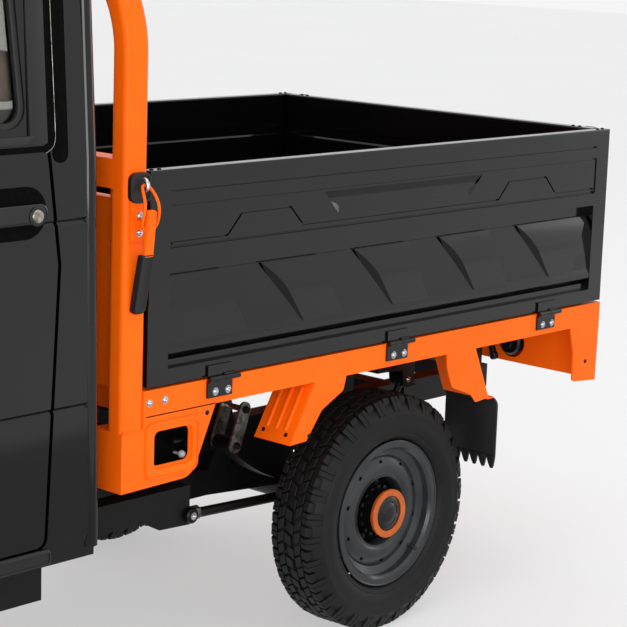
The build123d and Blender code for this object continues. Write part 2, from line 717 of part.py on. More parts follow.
def hoop():
    """Rounded-tube hoop with a cross bar, standing on the corner boxes."""
    y = bed_half - post_width / 2
    top = hoop_top - post_width / 2
    turn, part = hoop_bend, hoop_bend * sin(radians(45))
    spring = top - turn
    path = Polyline((post_x, y, post_foot_z), (post_x, y, spring))
    path += ThreePointArc((post_x, y, spring), (post_x, y - turn + part, spring + part),
                          (post_x, y - turn, top))
    path += Line((post_x, y - turn, top), (post_x, turn - y, top))
    path += ThreePointArc((post_x, turn - y, top), (post_x, turn - y - part, spring + part),
                          (post_x, -y, spring))
    path += Line((post_x, -y, spring), (post_x, -y, post_foot_z))
    section = RectangleRounded(post_length, post_width, post_rounding)
    tube = sweep(Plane.XY.offset(post_foot_z) * Pos(post_x, y) * section, path=path)
    return tube + block(post_rear + crossbar_inset, post_front, -y, y, crossbar_low, crossbar_high)


def headboard():
    """Pressed board between the posts, under the cross bar."""
    inner = bed_half - post_width
    gap = 24.0
    board = block(post_rear, post_rear + headboard_sheet, -inner, inner, rail_top, crossbar_low - gap)
    for side in (1, -1):
        board += block(post_rear, post_rear + 20, side * (inner - 40), side * inner,
                       crossbar_low - gap - 1, crossbar_low)
    return board


box_low = rail_bottom - 145.0
box_depth = 85.0
box_sheet = 4.0
box_reach = 190.0
box_slope = 63.0
window_margin = 42.0
window_size = (100.0, 70.0)
window_x = bed_front - 67.0
border_wide = 10.0
border_proud = 2.0


def corner_box():
    """Pressed corner box under the post, with a rounded window in its side."""
    toe = bed_front - box_reach
    face = outline([(post_front, box_low), (post_front, post_foot_z), (post_rear, post_foot_z),
                    (post_rear, rail_bottom), (toe, rail_bottom), (toe + box_slope, box_low + 4)], {5: 42})
    inner = along_y(offset(face, -box_sheet), bed_half - box_depth - 1, bed_half - box_sheet)
    box = along_y(face, bed_half - box_depth, bed_half) - inner
    width, height = window_size
    centre = Pos(window_x, box_low + window_margin + height / 2)
    window = centre * RectangleRounded(width, height, 14)
    border = centre * RectangleRounded(width + 3 * border_wide, height + 3 * border_wide, 22)
    border -= centre * RectangleRounded(width + border_wide, height + border_wide, 17)
    box += along_y(border, bed_half - 1, bed_half + border_proud)
    return box - along_y(window, bed_half - box_sheet - 2, bed_half + border_proud + 1)


lever_top = crossbar_low - 42.0
lever_grip = crossbar_low - 125.0
lever_end = crossbar_low - 235.0
latch_plate = 5.0


def latch(x):
    """Over-centre latch seen from the left: a base plate with a long lever."""
    base = outline([(x - 16, lever_top - 60), (x + 16, lever_top - 60), (x + 16, crossbar_low - 25),
                    (x - 16, crossbar_low - 25)], {0: 5, 1: 5})
    y = bed_half
    lever = outline([(y + 5, lever_top), (y + 14, lever_top + 7), (y + 24, lever_top - 23),
                     (y + 26, lever_grip), (y + 32, lever_end), (y + 20, lever_end),
                     (y + 16, lever_grip - 2), (y + 5, lever_top - 43)], {4: 5, 5: 5})
    return along_y(base, y, y + latch_plate) + along_x(lever, x - 9, x + 9)


def hoop_latch():
    """Latch on the hoop's post with a hook plate above it."""
    x = post_rear + 30
    hook = outline([(x - 24, crossbar_low - 25), (x + 22, crossbar_low - 25), (x + 22, crossbar_low + 30),
                    (x - 24, crossbar_low + 30)], {2: 12, 3: 12})
    return latch(x) + along_y(hook, bed_half, bed_half + 8)


save("hoop", hoop())
save("headboard", headboard())
save("corner_boxes", *both(corner_box()))
save("hoop_latches", *both(hoop_latch()))
save("tail_latches", *both(tail_turn(latch(tail_half - 28))))

# ---- wheel guards, flaps and tail ----
guard_sheet = 4.0
guard_inner = bed_half - 105.0
guard_low = rail_bottom - 128.0
flap_inner = bed_half - 133.0
flap_x = rear_axle_x - 325.0
flap_low = rail_bottom - 297.0
flap_high = rail_bottom - 93.0
flap_sheet = 6.0
tooth_count = 4
tooth_height = 37.0


def splash_guard():
    """Pressed guard ahead of the rear wheel: a side plate and a sloping plate."""
    x, top = rear_axle_x, rail_bottom
    side = outline([(x + 310, top), (x + 210, top), (x + 218, top - 31), (x + 286, top - 65),
                    (x + 332, guard_low + 2), (x + 384, guard_low)], {2: 14, 3: 30})
    plate = outline([(x + 310, top), (x + 305, top), (x + 379, guard_low), (x + 384, guard_low)])
    return along_y(side, bed_half - guard_sheet, bed_half) + along_y(plate, guard_inner, bed_half)


def flap_bracket():
    """Pressed bracket behind the rear wheel that holds the mud flap."""
    x, top, low = rear_axle_x, rail_bottom, guard_low - 2
    side = outline([(x - 137, top), (x - 243, top), (x - 301, low + 4), (x - 253, low), (x - 234, low + 21),
                    (x - 162, top - 82), (x - 141, top - 35)], {4: 12, 5: 20, 6: 20})
    seat = flap_x + flap_sheet
    plate = outline([(x - 243, top), (x - 238, top), (x - 296, low), (seat, low), (seat, low + 4),
                     (x - 301, low + 4)])
    strip = block(seat, seat + 4, flap_inner, bed_half - 34, low, flap_high)
    return (along_y(side, bed_half - guard_sheet, bed_half) + along_y(plate, flap_inner, bed_half)
            + strip)


def mud_flap():
    """Rubber flap behind the wheel with a row of teeth along its lower edge."""
    valley = flap_low + tooth_height
    y0, y1 = flap_inner, bed_half - guard_sheet - 1
    pitch = (y1 - y0) / tooth_count
    teeth = []
    for index in range(tooth_count):
        y = y1 - index * pitch
        teeth += [(y - 0.1 * pitch, valley), (y - 0.5 * pitch, flap_low), (y - 0.95 * pitch, valley)]
    face = outline([(y0, flap_high), (y1, flap_high)] + teeth)
    return along_x(face, flap_x, flap_x + flap_sheet)


def tail_panel():
    """Tail cross panel with round lamp holes and flange plates round its ends."""
    x0 = bed_rear + tail_recess
    x1 = x0 + tail_sheet
    panel = block(x0, x1, -bed_half, bed_half, tail_low, rail_bottom)
    flange = outline([(bed_rear + 119, rail_bottom), (bed_rear + 101, tail_low + 75),
                      (bed_rear + 100, tail_low + 3), (bed_rear + 3, tail_low - 6), (bed_rear, rail_bottom)],
                     {1: 20, 2: 10})
    for side in (1, -1):
        panel -= rod((x0 - 1, side * lamp_y, lamp_z), (x1 + 1, side * lamp_y, lamp_z), lamp_radius)
        panel += along_y(flange, side * (bed_half - 5), side * bed_half)
    return panel


def tail_lamp():
    """Round lamp body set in the tail panel, with a bezel outside."""
    x0 = bed_rear + tail_recess
    lamp = rod((x0 - 4, lamp_y, lamp_z), (x0 + 46, lamp_y, lamp_z), lamp_radius - 0.3)
    return lamp + rod((x0 - 4, lamp_y, lamp_z), (x0, lamp_y, lamp_z), lamp_radius + 5)


save("wheel_guards", *both(splash_guard()), *both(flap_bracket()))
save("mud_flaps", *both(mud_flap()))
save("tail_panel", tail_panel())
save("tail_lamps", *both(tail_lamp()))

# ---- cab shell ----
nose_low = cab_bottom + 118.0
side_foot = cab_bottom + 49.0
cowl = (cab_front - 75.0, belt_z - 165.0)
header = (cab_front - 340.0, roof_height - 45.0)
tumblehome = 26.0
rear_lean = 0.045
screen_low = belt_z - 135.0
screen_high = roof_split - 10.0
pillar_x = cab_rear + 155.0
door_low = floor_z + door_gap
nose_split = cab_bottom + 152.0
crease_places = (belt_z - 110.0, belt_z - 465.0)
crease_depth = 4.0
head_y = cab_half - 250.0
head_z = cab_bottom + 318.0
head_radius = 78.0
reach = cab_half + 40


def rear_line(z):
    """The cab's back wall leans forward with height."""
    return cab_rear + (z - cab_bottom) * rear_lean


def screen_line(z):
    """The windscreen plane from the cowl up to the header."""
    return cowl[0] + (z - cowl[1]) * (header[0] - cowl[0]) / (header[1] - cowl[1])


def cab_block(inset, low=cab_bottom):
    """The cab's outer form moved inwards by inset; a negative inset moves it out."""
    crown = (cab_rear + header[0]) / 2
    side = outline([
        (rear_line(low), low), (cab_front - 22 * (nose_low - low) / 118, low), (cab_front, nose_low),
        (cab_front, belt_z - 320), (cab_front - 28, belt_z - 235), cowl, header,
        (header[0] - 70, roof_height - 8), (crown, roof_height),
        (rear_line(roof_height) + 40, roof_height - 10), (rear_line(roof_height), roof_height - 45),
    ], {3: 60, 5: 60, 6: 60, 9: 20})
    half = cab_half
    tuck = 12 * (side_foot - low) / 49
    eaves = half - tumblehome
    section = outline([
        (-half + tuck, low), (half - tuck, low), (half, side_foot), (half, belt_z), (eaves, roof_split),
        (eaves - 20, roof_height + 3), (0, roof_height + 8), (20 - eaves, roof_height + 3),
        (-eaves, roof_split), (-half, belt_z), (-half, side_foot),
    ], {5: 62, 7: 62})
    plan = outline([(cab_rear, -half), (cab_front, -half), (cab_front, half), (cab_rear, half)],
                   {1: 150, 2: 150, 0: 24, 3: 24})
    faces = [side, section, plan]
    if inset:
        faces = [offset(face, -inset, kind=Kind.INTERSECTION) for face in faces]
    side, section, plan = faces
    solid = along_y(side, -reach - 20, reach + 20) & along_x(section, cab_rear - 80, cab_front + 80)
    return solid & along_z(plan, cab_bottom - 160, roof_height + 60)


def door_outline(grow):
    """Door shape in side view, grown by a gap."""
    top = roof_split - door_gap
    face = outline([(cab_rear + 138, door_low), (cab_rear + 110, belt_z - 190), (cab_rear + 137, belt_z + 15),
                    (cab_rear + 150, belt_z + 125), (cab_rear + 170, top), (door_front, top),
                    (door_front, door_low)], {0: 20, 4: 24, 5: 24})
    return offset(face, grow, kind=Kind.INTERSECTION) if grow else face


def window_outline():
    """Side window opening."""
    front = door_front - 47
    return outline([(cab_rear + 183, window_low), (cab_rear + 205, window_high), (front, window_high),
                    (front, window_low)], {0: 40, 1: 34, 2: 34, 3: 34})


def quarter_outline():
    """Fixed quarter window between the door and the screen pillar."""
    x0, pillar = door_front + 52, 86
    return outline([(x0, window_low), (x0, window_high), (screen_line(window_high) - pillar, window_high),
                    (screen_line(window_low) - pillar, window_low)], {0: 14, 1: 8, 3: 14})


def end_window(low, high, half_low, half_high, corner):
    """Windscreen or rear window opening, seen along the vehicle."""
    return outline([(-half_low, low), (half_low, low), (half_high, high), (-half_high, high)],
                   {index: corner for index in range(4)})


def region(x0, x1, z0, z1):
    """Full-width slice of the cab used to part its panels."""
    return block(x0, x1, -reach, reach, z0, z1)


outer_cab = cab_block(0)
for crease_z in crease_places:
    for side in (1, -1):
        notch = outline([(side * (cab_half + 1), crease_z + 7), (side * (cab_half + 1), crease_z - 7),
                         (side * (cab_half - crease_depth), crease_z)])
        outer_cab -= along_x(notch, cab_rear - 20, cab_front - 140)
inner_cab = cab_block(cab_wall, cab_bottom - 100)
shell = outer_cab - inner_cab
door_hole = along_y(door_outline(door_gap), -reach, reach)
window_hole = along_y(window_outline(), -reach, reach)
quarter_hole = along_y(quarter_outline(), -reach, reach)
arch_hole = arch(arch_radius, -reach, reach)
screen_face = end_window(screen_low, screen_high, cab_half - 90, cab_half - 120, 50)
screen_hole = along_x(screen_face, cowl[0] - 300, cab_front)
rear_face = end_window(belt_z + 35, window_high + 10, cab_half - 160, cab_half - 170, 40)
rear_hole = along_x(rear_face, cab_rear - 60, pillar_x)
body_shell = shell - door_hole - screen_hole - rear_hole - quarter_hole - arch_hole
under = cab_bottom - 30
bumper_zone = region(front_axle_x + arch_radius - 60, cab_front + 60, under, nose_split)
head_hole = rod((cab_front - 80, head_y, head_z), (cab_front + 20, head_y, head_z), head_radius + 0.3)
frame_notch = block(cab_rear - 60, pillar_x, -low_rail_y - 40, low_rail_y + 40, under, floor_z)
hinge_pin_x = door_front + door_gap / 2
hinge_pin_y = cab_half + 7.0
pin_barrel = 7.0
door_hinges = (belt_z - 60.0, belt_z - 390.0)


def door_hinge(z, fixed):
    """One leaf and half barrel of a door hinge: below on the body, above on the door."""
    low, high = (z - 30, z - 0.5) if fixed else (z + 0.5, z + 30)
    barrel = rod((hinge_pin_x, hinge_pin_y, low), (hinge_pin_x, hinge_pin_y, high), pin_barrel)
    edge = (door_gap / 2 + 1) * (1 if fixed else -1)
    leaf = block(hinge_pin_x + edge, hinge_pin_x + edge * 11, cab_half - 1, cab_half + 4, low, high)
    web = block(hinge_pin_x, hinge_pin_x + edge * 2, cab_half + 1, hinge_pin_y - 2, low, high)
    return barrel + leaf + web


def cab_roof():
    """Roof panel above the window line."""
    return body_shell & region(cab_rear - 60, cab_front, roof_split, roof_height + 60)


def cab_back():
    """Back wall with both rear pillars, notched over the frame rails."""
    return (body_shell & region(cab_rear - 60, pillar_x, under, roof_split)) - frame_notch


def cab_nose():
    """Front panel with the screen pillars and the fixed half of the door hinges."""
    zone = region(front_split, cab_front + 60, under, roof_split) - bumper_zone
    zone -= region(front_split - 1, front_axle_x, under, floor_z)
    nose = (body_shell & zone) - head_hole - flip(head_hole)
    for z in door_hinges:
        for leaf in both(door_hinge(z, True)):
            nose += leaf
    return nose


seat_rear = cab_rear + 165.0
seat_front = front_split + 36.0
seat_box_top = floor_z + 212.0
seat_half_gap = 22.0
seat_outer = cab_half - 68.0
seat_depth = 100.0
housing_inner = kingpin_y - 115.0
housing_sheet = 4.0


def cab_floor():
    """Floor pan with wheel housings, seat box and sills."""
    slab = inner_cab & region(cab_rear, cab_front - 60, floor_z, floor_z + floor_thickness)
    slab += body_shell & region(pillar_x, front_axle_x, under, floor_z)
    above = region(front_split - 20, cab_front - 60, floor_z, roof_height) & inner_cab
    for side in (1, -1):
        slab += arch(arch_radius + housing_sheet, side * housing_inner, side * reach) & above
        slab += block(pillar_x, front_split + 60, side * (cab_half - cab_wall - 30),
                      side * (cab_half - cab_wall + 1), cab_bottom + 8, floor_z + 1)
        slab -= arch(arch_radius, side * (housing_inner + housing_sheet), side * reach)
    box_half = cab_half - cab_wall - 19
    return slab + block(seat_rear - 15, seat_front - 23, -box_half, box_half,
                        floor_z + floor_thickness - 1, seat_box_top)


def seat_cushion():
    """Flat seat cushion."""
    cushion = block(seat_rear, seat_front, seat_half_gap, seat_outer,
                    seat_box_top + 0.3, seat_box_top + seat_depth)
    return fillet(cushion.edges().filter_by(Axis.Z) + cushion.faces().sort_by(Axis.Z)[-1].edges(), 24)


def seat_back():
    """Reclined seat back."""
    low, high = seat_box_top + seat_depth + 0.6, belt_z + 85
    face = outline([(seat_rear - 27, low), (seat_rear + 80, low), (seat_rear + 27, high),
                    (seat_rear - 55, high)], {2: 30, 3: 30, 0: 10, 1: 20})
    return along_y(face, seat_half_gap, seat_outer)


steer_x = front_axle_x - 74.0
steer_y = cab_half - 315.0
steer_z = belt_z - 145.0
steer_axis = (0.8, 0.0, -0.6)
steer_rim = 175.0
steer_grip = 13.0
shaft_radius = 12.0
shaft_end = 118.0


def on_column(distance):
    """Point on the steering column, measured forward from the wheel's centre."""
    return (steer_x + steer_axis[0] * distance, steer_y, steer_z + steer_axis[2] * distance)


def dashboard():
    """Full-width dash moulding with the steering column tube."""
    x, z = front_axle_x, belt_z
    face = outline([(x + 96, z - 290), (x + 86, z - 200), (x + 131, z - 150), (x + 286, z - 168),
                    (x + 316, z - 250), (x + 316, z - 350), (x + 178, z - 370)], {1: 20, 2: 20})
    dash = along_y(face, -cab_half, cab_half) & inner_cab
    column = rod(on_column(34), on_column(shaft_end + 132), 2 * shaft_radius)
    return dash + column - rod(on_column(20), on_column(shaft_end + 2), shaft_radius + running_clearance)


def steering_wheel():
    """Rim, three spokes, boss and shaft about the column's axis."""
    plane = Plane(origin=on_column(0), z_dir=steer_axis)
    wheel = plane * Torus(steer_rim, steer_grip)
    for turn in (90, 210, 330):
        wheel += plane * Rot(0, 0, turn) * Pos(steer_rim / 2, 0, 6) * Box(steer_rim - 7, 24, 10)
    wheel += rod(on_column(-12), on_column(28), 34)
    return wheel + rod(on_column(20), on_column(shaft_end), shaft_radius)


def side_glass():
    """Flat glass set in the middle of the side wall's thickness, seen along the vehicle."""
    lean = tumblehome / (roof_split - belt_z)
    low, high = window_low - 5, window_high + 5
    y_low, y_high = cab_half - 20 - lean * (low - belt_z), cab_half - 20 - lean * (high - belt_z)
    sheet = outline([(y_low, low), (y_low + glass_thickness, low),
                     (y_high + glass_thickness, high), (y_high, high)])
    return along_x(sheet, cab_rear, cab_front)


def end_glass(line, low, high, depth, hole):
    """Flat screen glass that follows a wall line, set in by depth within its opening."""
    x0, x1 = line(low) + depth, line(high) + depth
    sheet = outline([(x0, low), (x0 + glass_thickness, low), (x1 + glass_thickness, high), (x1, high)])
    return along_y(sheet, -reach, reach) & hole


def door():
    """Left door: the cab wall inside the door outline, with its window and hinge leaves."""
    panel = (shell & along_y(door_outline(0), 0, reach)) - arch(arch_radius + door_gap, 0, reach)
    for z in door_hinges:
        panel += door_hinge(z, False)
    return panel - window_hole


def mirror_unit():
    """Door mirror on a short arm."""
    x, z = door_front - 52, window_low - 30
    head = fillet((Pos(x, cab_half + 110, z + 70) * Box(50, 120, 170)).edges(), 16)
    arm = rod((x, cab_half - 12, z), (x, cab_half + 62, z + 16), 11)
    foot = rod((x, cab_half - 12, z), (x, cab_half + 3, z), 24)
    return head + arm + foot - outer_cab


def head_lamp():
    """Round head lamp set in the nose."""
    return rod((cab_front - 60, head_y, head_z), (cab_front + 4, head_y, head_z), head_radius)


def front_bumper():
    """Proud lower bumper that wraps round to the wheel arches."""
    band = cab_block(-bumper_proud) - cab_block(cab_wall - bumper_proud, cab_bottom - 100)
    return (band & bumper_zone) - arch_hole


left_door = door()
left_glass = along_y(window_outline(), 0, reach) & side_glass()
windscreen = end_glass(screen_line, screen_low - 10, screen_high + 10, -22, screen_hole)
rear_glass = end_glass(rear_line, belt_z + 25, window_high + 20, 14, rear_hole)
quarter_glass = along_y(quarter_outline(), 0, reach) & side_glass()
save("cab_floor", cab_floor())
save("cab_rear", cab_back())
save("cab_front", cab_nose())
save("cab_roof", cab_roof())
save("fixed_windows", windscreen, rear_glass, *both(quarter_glass))
save("door_left", left_door)
save("door_right", flip(left_door))
save("door_glass_left", left_glass)
save("door_glass_right", flip(left_glass))
save("mirror_left", mirror_unit())
save("mirror_right", flip(mirror_unit()))
save("seat_cushions", *both(seat_cushion()))
save("seat_backs", *both(seat_back()))
save("dashboard", dashboard())
save("steering_wheel", steering_wheel())
save("headlamps", *both(head_lamp()))
save("front_bumper", front_bumper())
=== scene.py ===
"""Electric mini truck: finishes, fittings, seats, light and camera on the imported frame."""
from math import cos, pi, radians, sin

import bpy
from mathutils import Matrix, Vector


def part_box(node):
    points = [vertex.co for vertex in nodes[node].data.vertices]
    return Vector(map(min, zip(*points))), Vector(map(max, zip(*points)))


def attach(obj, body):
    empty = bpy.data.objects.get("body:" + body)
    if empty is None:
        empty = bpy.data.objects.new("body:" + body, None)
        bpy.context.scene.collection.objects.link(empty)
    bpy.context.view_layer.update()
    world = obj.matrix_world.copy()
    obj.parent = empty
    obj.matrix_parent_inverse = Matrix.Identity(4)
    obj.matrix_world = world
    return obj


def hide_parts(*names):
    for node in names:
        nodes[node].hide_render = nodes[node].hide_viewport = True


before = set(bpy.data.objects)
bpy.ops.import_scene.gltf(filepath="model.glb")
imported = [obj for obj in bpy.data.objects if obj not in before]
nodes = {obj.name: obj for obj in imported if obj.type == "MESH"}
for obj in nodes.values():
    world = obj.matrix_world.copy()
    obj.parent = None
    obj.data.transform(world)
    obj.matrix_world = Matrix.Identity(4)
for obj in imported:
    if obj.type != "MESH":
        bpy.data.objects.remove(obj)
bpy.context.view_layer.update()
mm = 0.001
forward, backward = (1, 0, 0), (-1, 0, 0)
leftward, rightward = (0, 1, 0), (0, -1, 0)
upward = (0, 0, 1)


# ---- shader helpers ----
def linear(code):
    """The linear colour of an sRGB hex value."""
    parts = [int(code[i:i + 2], 16) / 255 for i in (1, 3, 5)]
    return [p / 12.92 if p <= 0.04045 else ((p + 0.055) / 1.055) ** 2.4 for p in parts] + [1.0]


def add_node(tree, kind, settings=None, inputs=None, links=None):
    """Add a shader node with its settings and socket values, fed by the linked sockets."""
    node = tree.nodes.new(kind)
    for key, value in (settings or {}).items():
        setattr(node, key, value)
    for key, value in (inputs or {}).items():
        node.inputs[key].default_value = value
    for key, socket in (links or {}).items():
        tree.links.new(socket, node.inputs[key])
    return node


def new_finish(name, hex_code, roughness, metallic=0.0, **sockets):
    """A principled finish: its material, node tree, shader and Object coordinates."""
    material = bpy.data.materials.new(name)
    material.use_nodes = True
    tree = material.node_tree
    shader = tree.nodes["Principled BSDF"]
    shader.inputs["Base Color"].default_value = linear(hex_code)
    shader.inputs["Roughness"].default_value = roughness
    shader.inputs["Metallic"].default_value = metallic
    for key, value in sockets.items():
        shader.inputs[key.replace("_", " ")].default_value = value
    place = add_node(tree, "ShaderNodeTexCoord").outputs["Object"]
    return material, tree, shader, place


def drift(tree, shader, place, size_mm, dark, light):
    """Colour that drifts between two hex values over patches of a size in millimetres."""
    noise = add_node(tree, "ShaderNodeTexNoise", inputs={"Scale": 1000 / size_mm, "Detail": 3.0},
                     links={"Vector": place})
    spread = add_node(tree, "ShaderNodeMapRange", inputs={"From Min": 0.35, "From Max": 0.65},
                      links={"Value": noise.outputs["Fac"]})
    mix = add_node(tree, "ShaderNodeMix", {"data_type": "RGBA"},
                   links={"Factor": spread.outputs["Result"]})
    mix.inputs[6].default_value = linear(dark)
    mix.inputs[7].default_value = linear(light)
    tree.links.new(mix.outputs[2], shader.inputs["Base Color"])


def handled(tree, shader, place, size_mm, low, high):
    """Roughness that drifts between two values, as on a wiped or handled surface."""
    noise = add_node(tree, "ShaderNodeTexNoise", inputs={"Scale": 1000 / size_mm, "Detail": 4.0},
                     links={"Vector": place})
    spread = add_node(tree, "ShaderNodeMapRange",
                      inputs={"From Min": 0.3, "From Max": 0.7, "To Min": low, "To Max": high},
                      links={"Value": noise.outputs["Fac"]})
    tree.links.new(spread.outputs["Result"], shader.inputs["Roughness"])


def relief(tree, shader, place, size_mm, depth_mm, strength=1.0, cells=False):
    """Fine relief of a grain size and depth in millimetres: soft pebbles, or leather cells."""
    kind, out = ("ShaderNodeTexVoronoi", "Distance") if cells else ("ShaderNodeTexNoise", "Fac")
    texture = add_node(tree, kind, inputs={"Scale": 1000 / size_mm}, links={"Vector": place})
    bump = add_node(tree, "ShaderNodeBump",
                    inputs={"Strength": strength, "Distance": depth_mm * mm},
                    links={"Height": texture.outputs[out]})
    tree.links.new(bump.outputs["Normal"], shader.inputs["Normal"])


# ---- finishes ----
def gloss_body_enamel():
    """Baked gloss black enamel on the cab: almost no colour of its own, it mirrors the room with a
    faint waviness of the pressed steel (patches of 45 mm)."""
    material, tree, shader, place = new_finish("gloss_black_body_enamel", "#050506", 0.08, IOR=1.46)
    relief(tree, shader, place, 45.0, 0.05)
    return material


def orange_powder_coat():
    """Semi-gloss orange powder coat on welded steel: even strong orange, slightly pebbled from the
    melted powder (drawn at 3 mm so that it shows)."""
    material, tree, shader, place = new_finish("orange_powder_coat", "#ff6709", 0.36,
                                               Specular_IOR_Level=0.12)
    drift(tree, shader, place, 120.0, "#ff6407", "#ff6a0b")
    relief(tree, shader, place, 3.0, 0.03, 0.6)
    return material


def black_powder_coat():
    """Gloss black powder coat on the pressed bed panels: soft-edged grey reflections."""
    material, tree, shader, place = new_finish("gloss_black_powder_coat", "#060607", 0.14, IOR=1.46)
    handled(tree, shader, place, 160.0, 0.11, 0.17)
    relief(tree, shader, place, 3.5, 0.02, 0.5)
    return material


def chassis_paint():
    """Satin black brushed chassis paint: duller than the panels, with uneven cover."""
    material, tree, shader, place = new_finish("satin_black_chassis_paint", "#070707", 0.42,
                                               Specular_IOR_Level=0.28)
    handled(tree, shader, place, 40.0, 0.36, 0.5)
    relief(tree, shader, place, 5.0, 0.05, 0.6)
    return material


def spring_steel():
    """Rolled and oiled spring steel: dark, brownish, with a dull shine."""
    material, tree, shader, place = new_finish("oiled_spring_steel", "#1f1c1a", 0.46, 0.8)
    drift(tree, shader, place, 30.0, "#171514", "#282422")
    return material


def forged_link_steel():
    """Forged and blasted link steel: pale grey metal with brighter and darker oily patches."""
    material, tree, shader, place = new_finish("forged_link_steel", "#a09b95", 0.32, 1.0)
    drift(tree, shader, place, 14.0, "#77726c", "#bfbab3")
    handled(tree, shader, place, 9.0, 0.26, 0.46)
    return material


def bright_zinc():
    """Bright zinc plate on bolts and hooks: cool silver, cloudy where it was barrel-plated."""
    material, tree, shader, place = new_finish("bright_zinc_plate", "#cdd0d4", 0.2, 1.0)
    handled(tree, shader, place, 5.0, 0.14, 0.32)
    return material


def black_oxide():
    """Black oxide on small fixings: near black metal with an oily sheen."""
    material, tree, shader, place = new_finish("black_oxide_steel", "#1b1b1c", 0.34, 0.7)
    handled(tree, shader, place, 6.0, 0.26, 0.44)
    return material


def wheel_enamel():
    """Stove enamel on pressed wheels: dark grey, semi-gloss, lightly clouded."""
    material, tree, shader, place = new_finish("grey_wheel_enamel", "#2b2d2f", 0.24)
    drift(tree, shader, place, 50.0, "#27292b", "#303234")
    relief(tree, shader, place, 3.0, 0.03, 0.5)
    return material


def tyre_rubber():
    """Carbon-black tyre rubber: matt, with fine mould roughness (drawn at 1.6 mm)."""
    material, tree, shader, place = new_finish("tyre_rubber", "#0b0b0c", 0.62,
                                               Specular_IOR_Level=0.32)
    drift(tree, shader, place, 30.0, "#09090a", "#0f0f10")
    relief(tree, shader, place, 1.6, 0.12, 0.8)
    return material


def grey_nylon():
    """Moulded grey nylon of small knobs: light grey, with a dull shine."""
    material, tree, shader, place = new_finish("moulded_grey_nylon", "#9da3a3", 0.4)
    relief(tree, shader, place, 1.5, 0.05, 0.5)
    return material


def moulded_rubber():
    """Moulded EPDM rubber on seals, flaps and grips: matt black, slightly uneven."""
    material, tree, shader, place = new_finish("moulded_epdm_rubber", "#0f0f10", 0.55)
    relief(tree, shader, place, 1.8, 0.08, 0.7)
    return material


def grained_plastic():
    """Injection-moulded black polypropylene with a leather grain (2.4 mm cells): matt."""
    material, tree, shader, place = new_finish("grained_black_polypropylene", "#121213", 0.46)
    relief(tree, shader, place, 2.4, 0.15, 0.7, True)
    return material


def smooth_plastic():
    """Smooth moulded black ABS: darker and glossier than the grained parts."""
    material, tree, shader, place = new_finish("smooth_black_abs", "#0b0b0c", 0.22)
    handled(tree, shader, place, 30.0, 0.17, 0.28)
    return material


def orange_plastic():
    """Moulded orange ABS of the hub rings: flat orange with a soft shine."""
    material, tree, shader, place = new_finish("moulded_orange_abs", "#bd560e", 0.4)
    drift(tree, shader, place, 20.0, "#b5500c", "#c55c12")
    return material


def seat_vinyl():
    """Calendered beige seat vinyl: warm tan, low sheen, fine leather grain (2 mm cells)."""
    material, tree, shader, place = new_finish("beige_seat_vinyl", "#c39a6c", 0.5, Sheen_Weight=0.1)
    drift(tree, shader, place, 60.0, "#b98f62", "#cca477")
    relief(tree, shader, place, 2.0, 0.2, 0.7, True)
    return material


def toughened_glass():
    """Tinted toughened float glass: grey, clear, with a bright mirror reflection."""
    material, tree, shader, place = new_finish("tinted_toughened_glass", "#c4c4c2", 0.01, IOR=1.45,
                                               Transmission_Weight=1.0)
    handled(tree, shader, place, 260.0, 0.005, 0.02)
    return material


def mirror_silver():
    """Silvered mirror glass: a clean bright reflection."""
    material, tree, shader, place = new_finish("silvered_mirror_glass", "#e3e6e8", 0.02, 1.0)
    handled(tree, shader, place, 80.0, 0.01, 0.03)
    return material


def lamp_lens():
    """Moulded clear polycarbonate lens: bright, with shallow flutes 9 mm apart."""
    material, tree, shader, place = new_finish("clear_polycarbonate_lens", "#f4f7f8", 0.04,
                                               IOR=1.49, Transmission_Weight=1.0)
    wave = add_node(tree, "ShaderNodeTexWave", {"bands_direction": "Y"}, {"Scale": 1000 / 9 / 6.28},
                    {"Vector": place})
    bump = add_node(tree, "ShaderNodeBump", inputs={"Strength": 0.5, "Distance": 0.4 * mm},
                    links={"Height": wave.outputs["Fac"]})
    tree.links.new(bump.outputs["Normal"], shader.inputs["Normal"])
    return material


def reflector_metal():
    """Vacuum-metallised reflector bowl: near-white metal."""
    material, tree, shader, place = new_finish("metallised_reflector", "#e9eaec", 0.12, 1.0)
    handled(tree, shader, place, 20.0, 0.08, 0.2)
    return material


def red_lens():
    """Moulded red acrylic lens: deep red, glossy, with 6 mm prisms inside."""
    material, tree, shader, place = new_finish("red_acrylic_lens", "#a80b08", 0.1, IOR=1.49)
    drift(tree, shader, place, 6.0, "#8c0806", "#c4120d")
    relief(tree, shader, place, 6.0, 0.5, 0.8, True)
    return material


def amber_lens():
    """Moulded amber acrylic lens of the turn signals: deep yellow orange with 5 mm prisms."""
    material, tree, shader, place = new_finish("amber_acrylic_lens", "#d9770a", 0.1, IOR=1.49)
    drift(tree, shader, place, 5.0, "#c46506", "#ea8c16")
    relief(tree, shader, place, 5.0, 0.4, 0.8, True)
    return material


def painted_shade_finish():
    """Near-black matt finish of painted shade for pockets, channels, gaps, vents and the hub's
    recess:
    it stands in for the shade that falls in them, with almost no shine.
    """
    material, tree, shader, place = new_finish("painted_shade_black", "#050505", 0.95,
                                               Specular_IOR_Level=0.06)
    drift(tree, shader, place, 8.0, "#040404", "#080808")
    return material


def dark_screen():
    """Dark cover glass of the instrument screen: black and mirror-smooth."""
    material, tree, shader, place = new_finish("instrument_cover_glass", "#050607", 0.05)
    handled(tree, shader, place, 30.0, 0.03, 0.08)
    return material


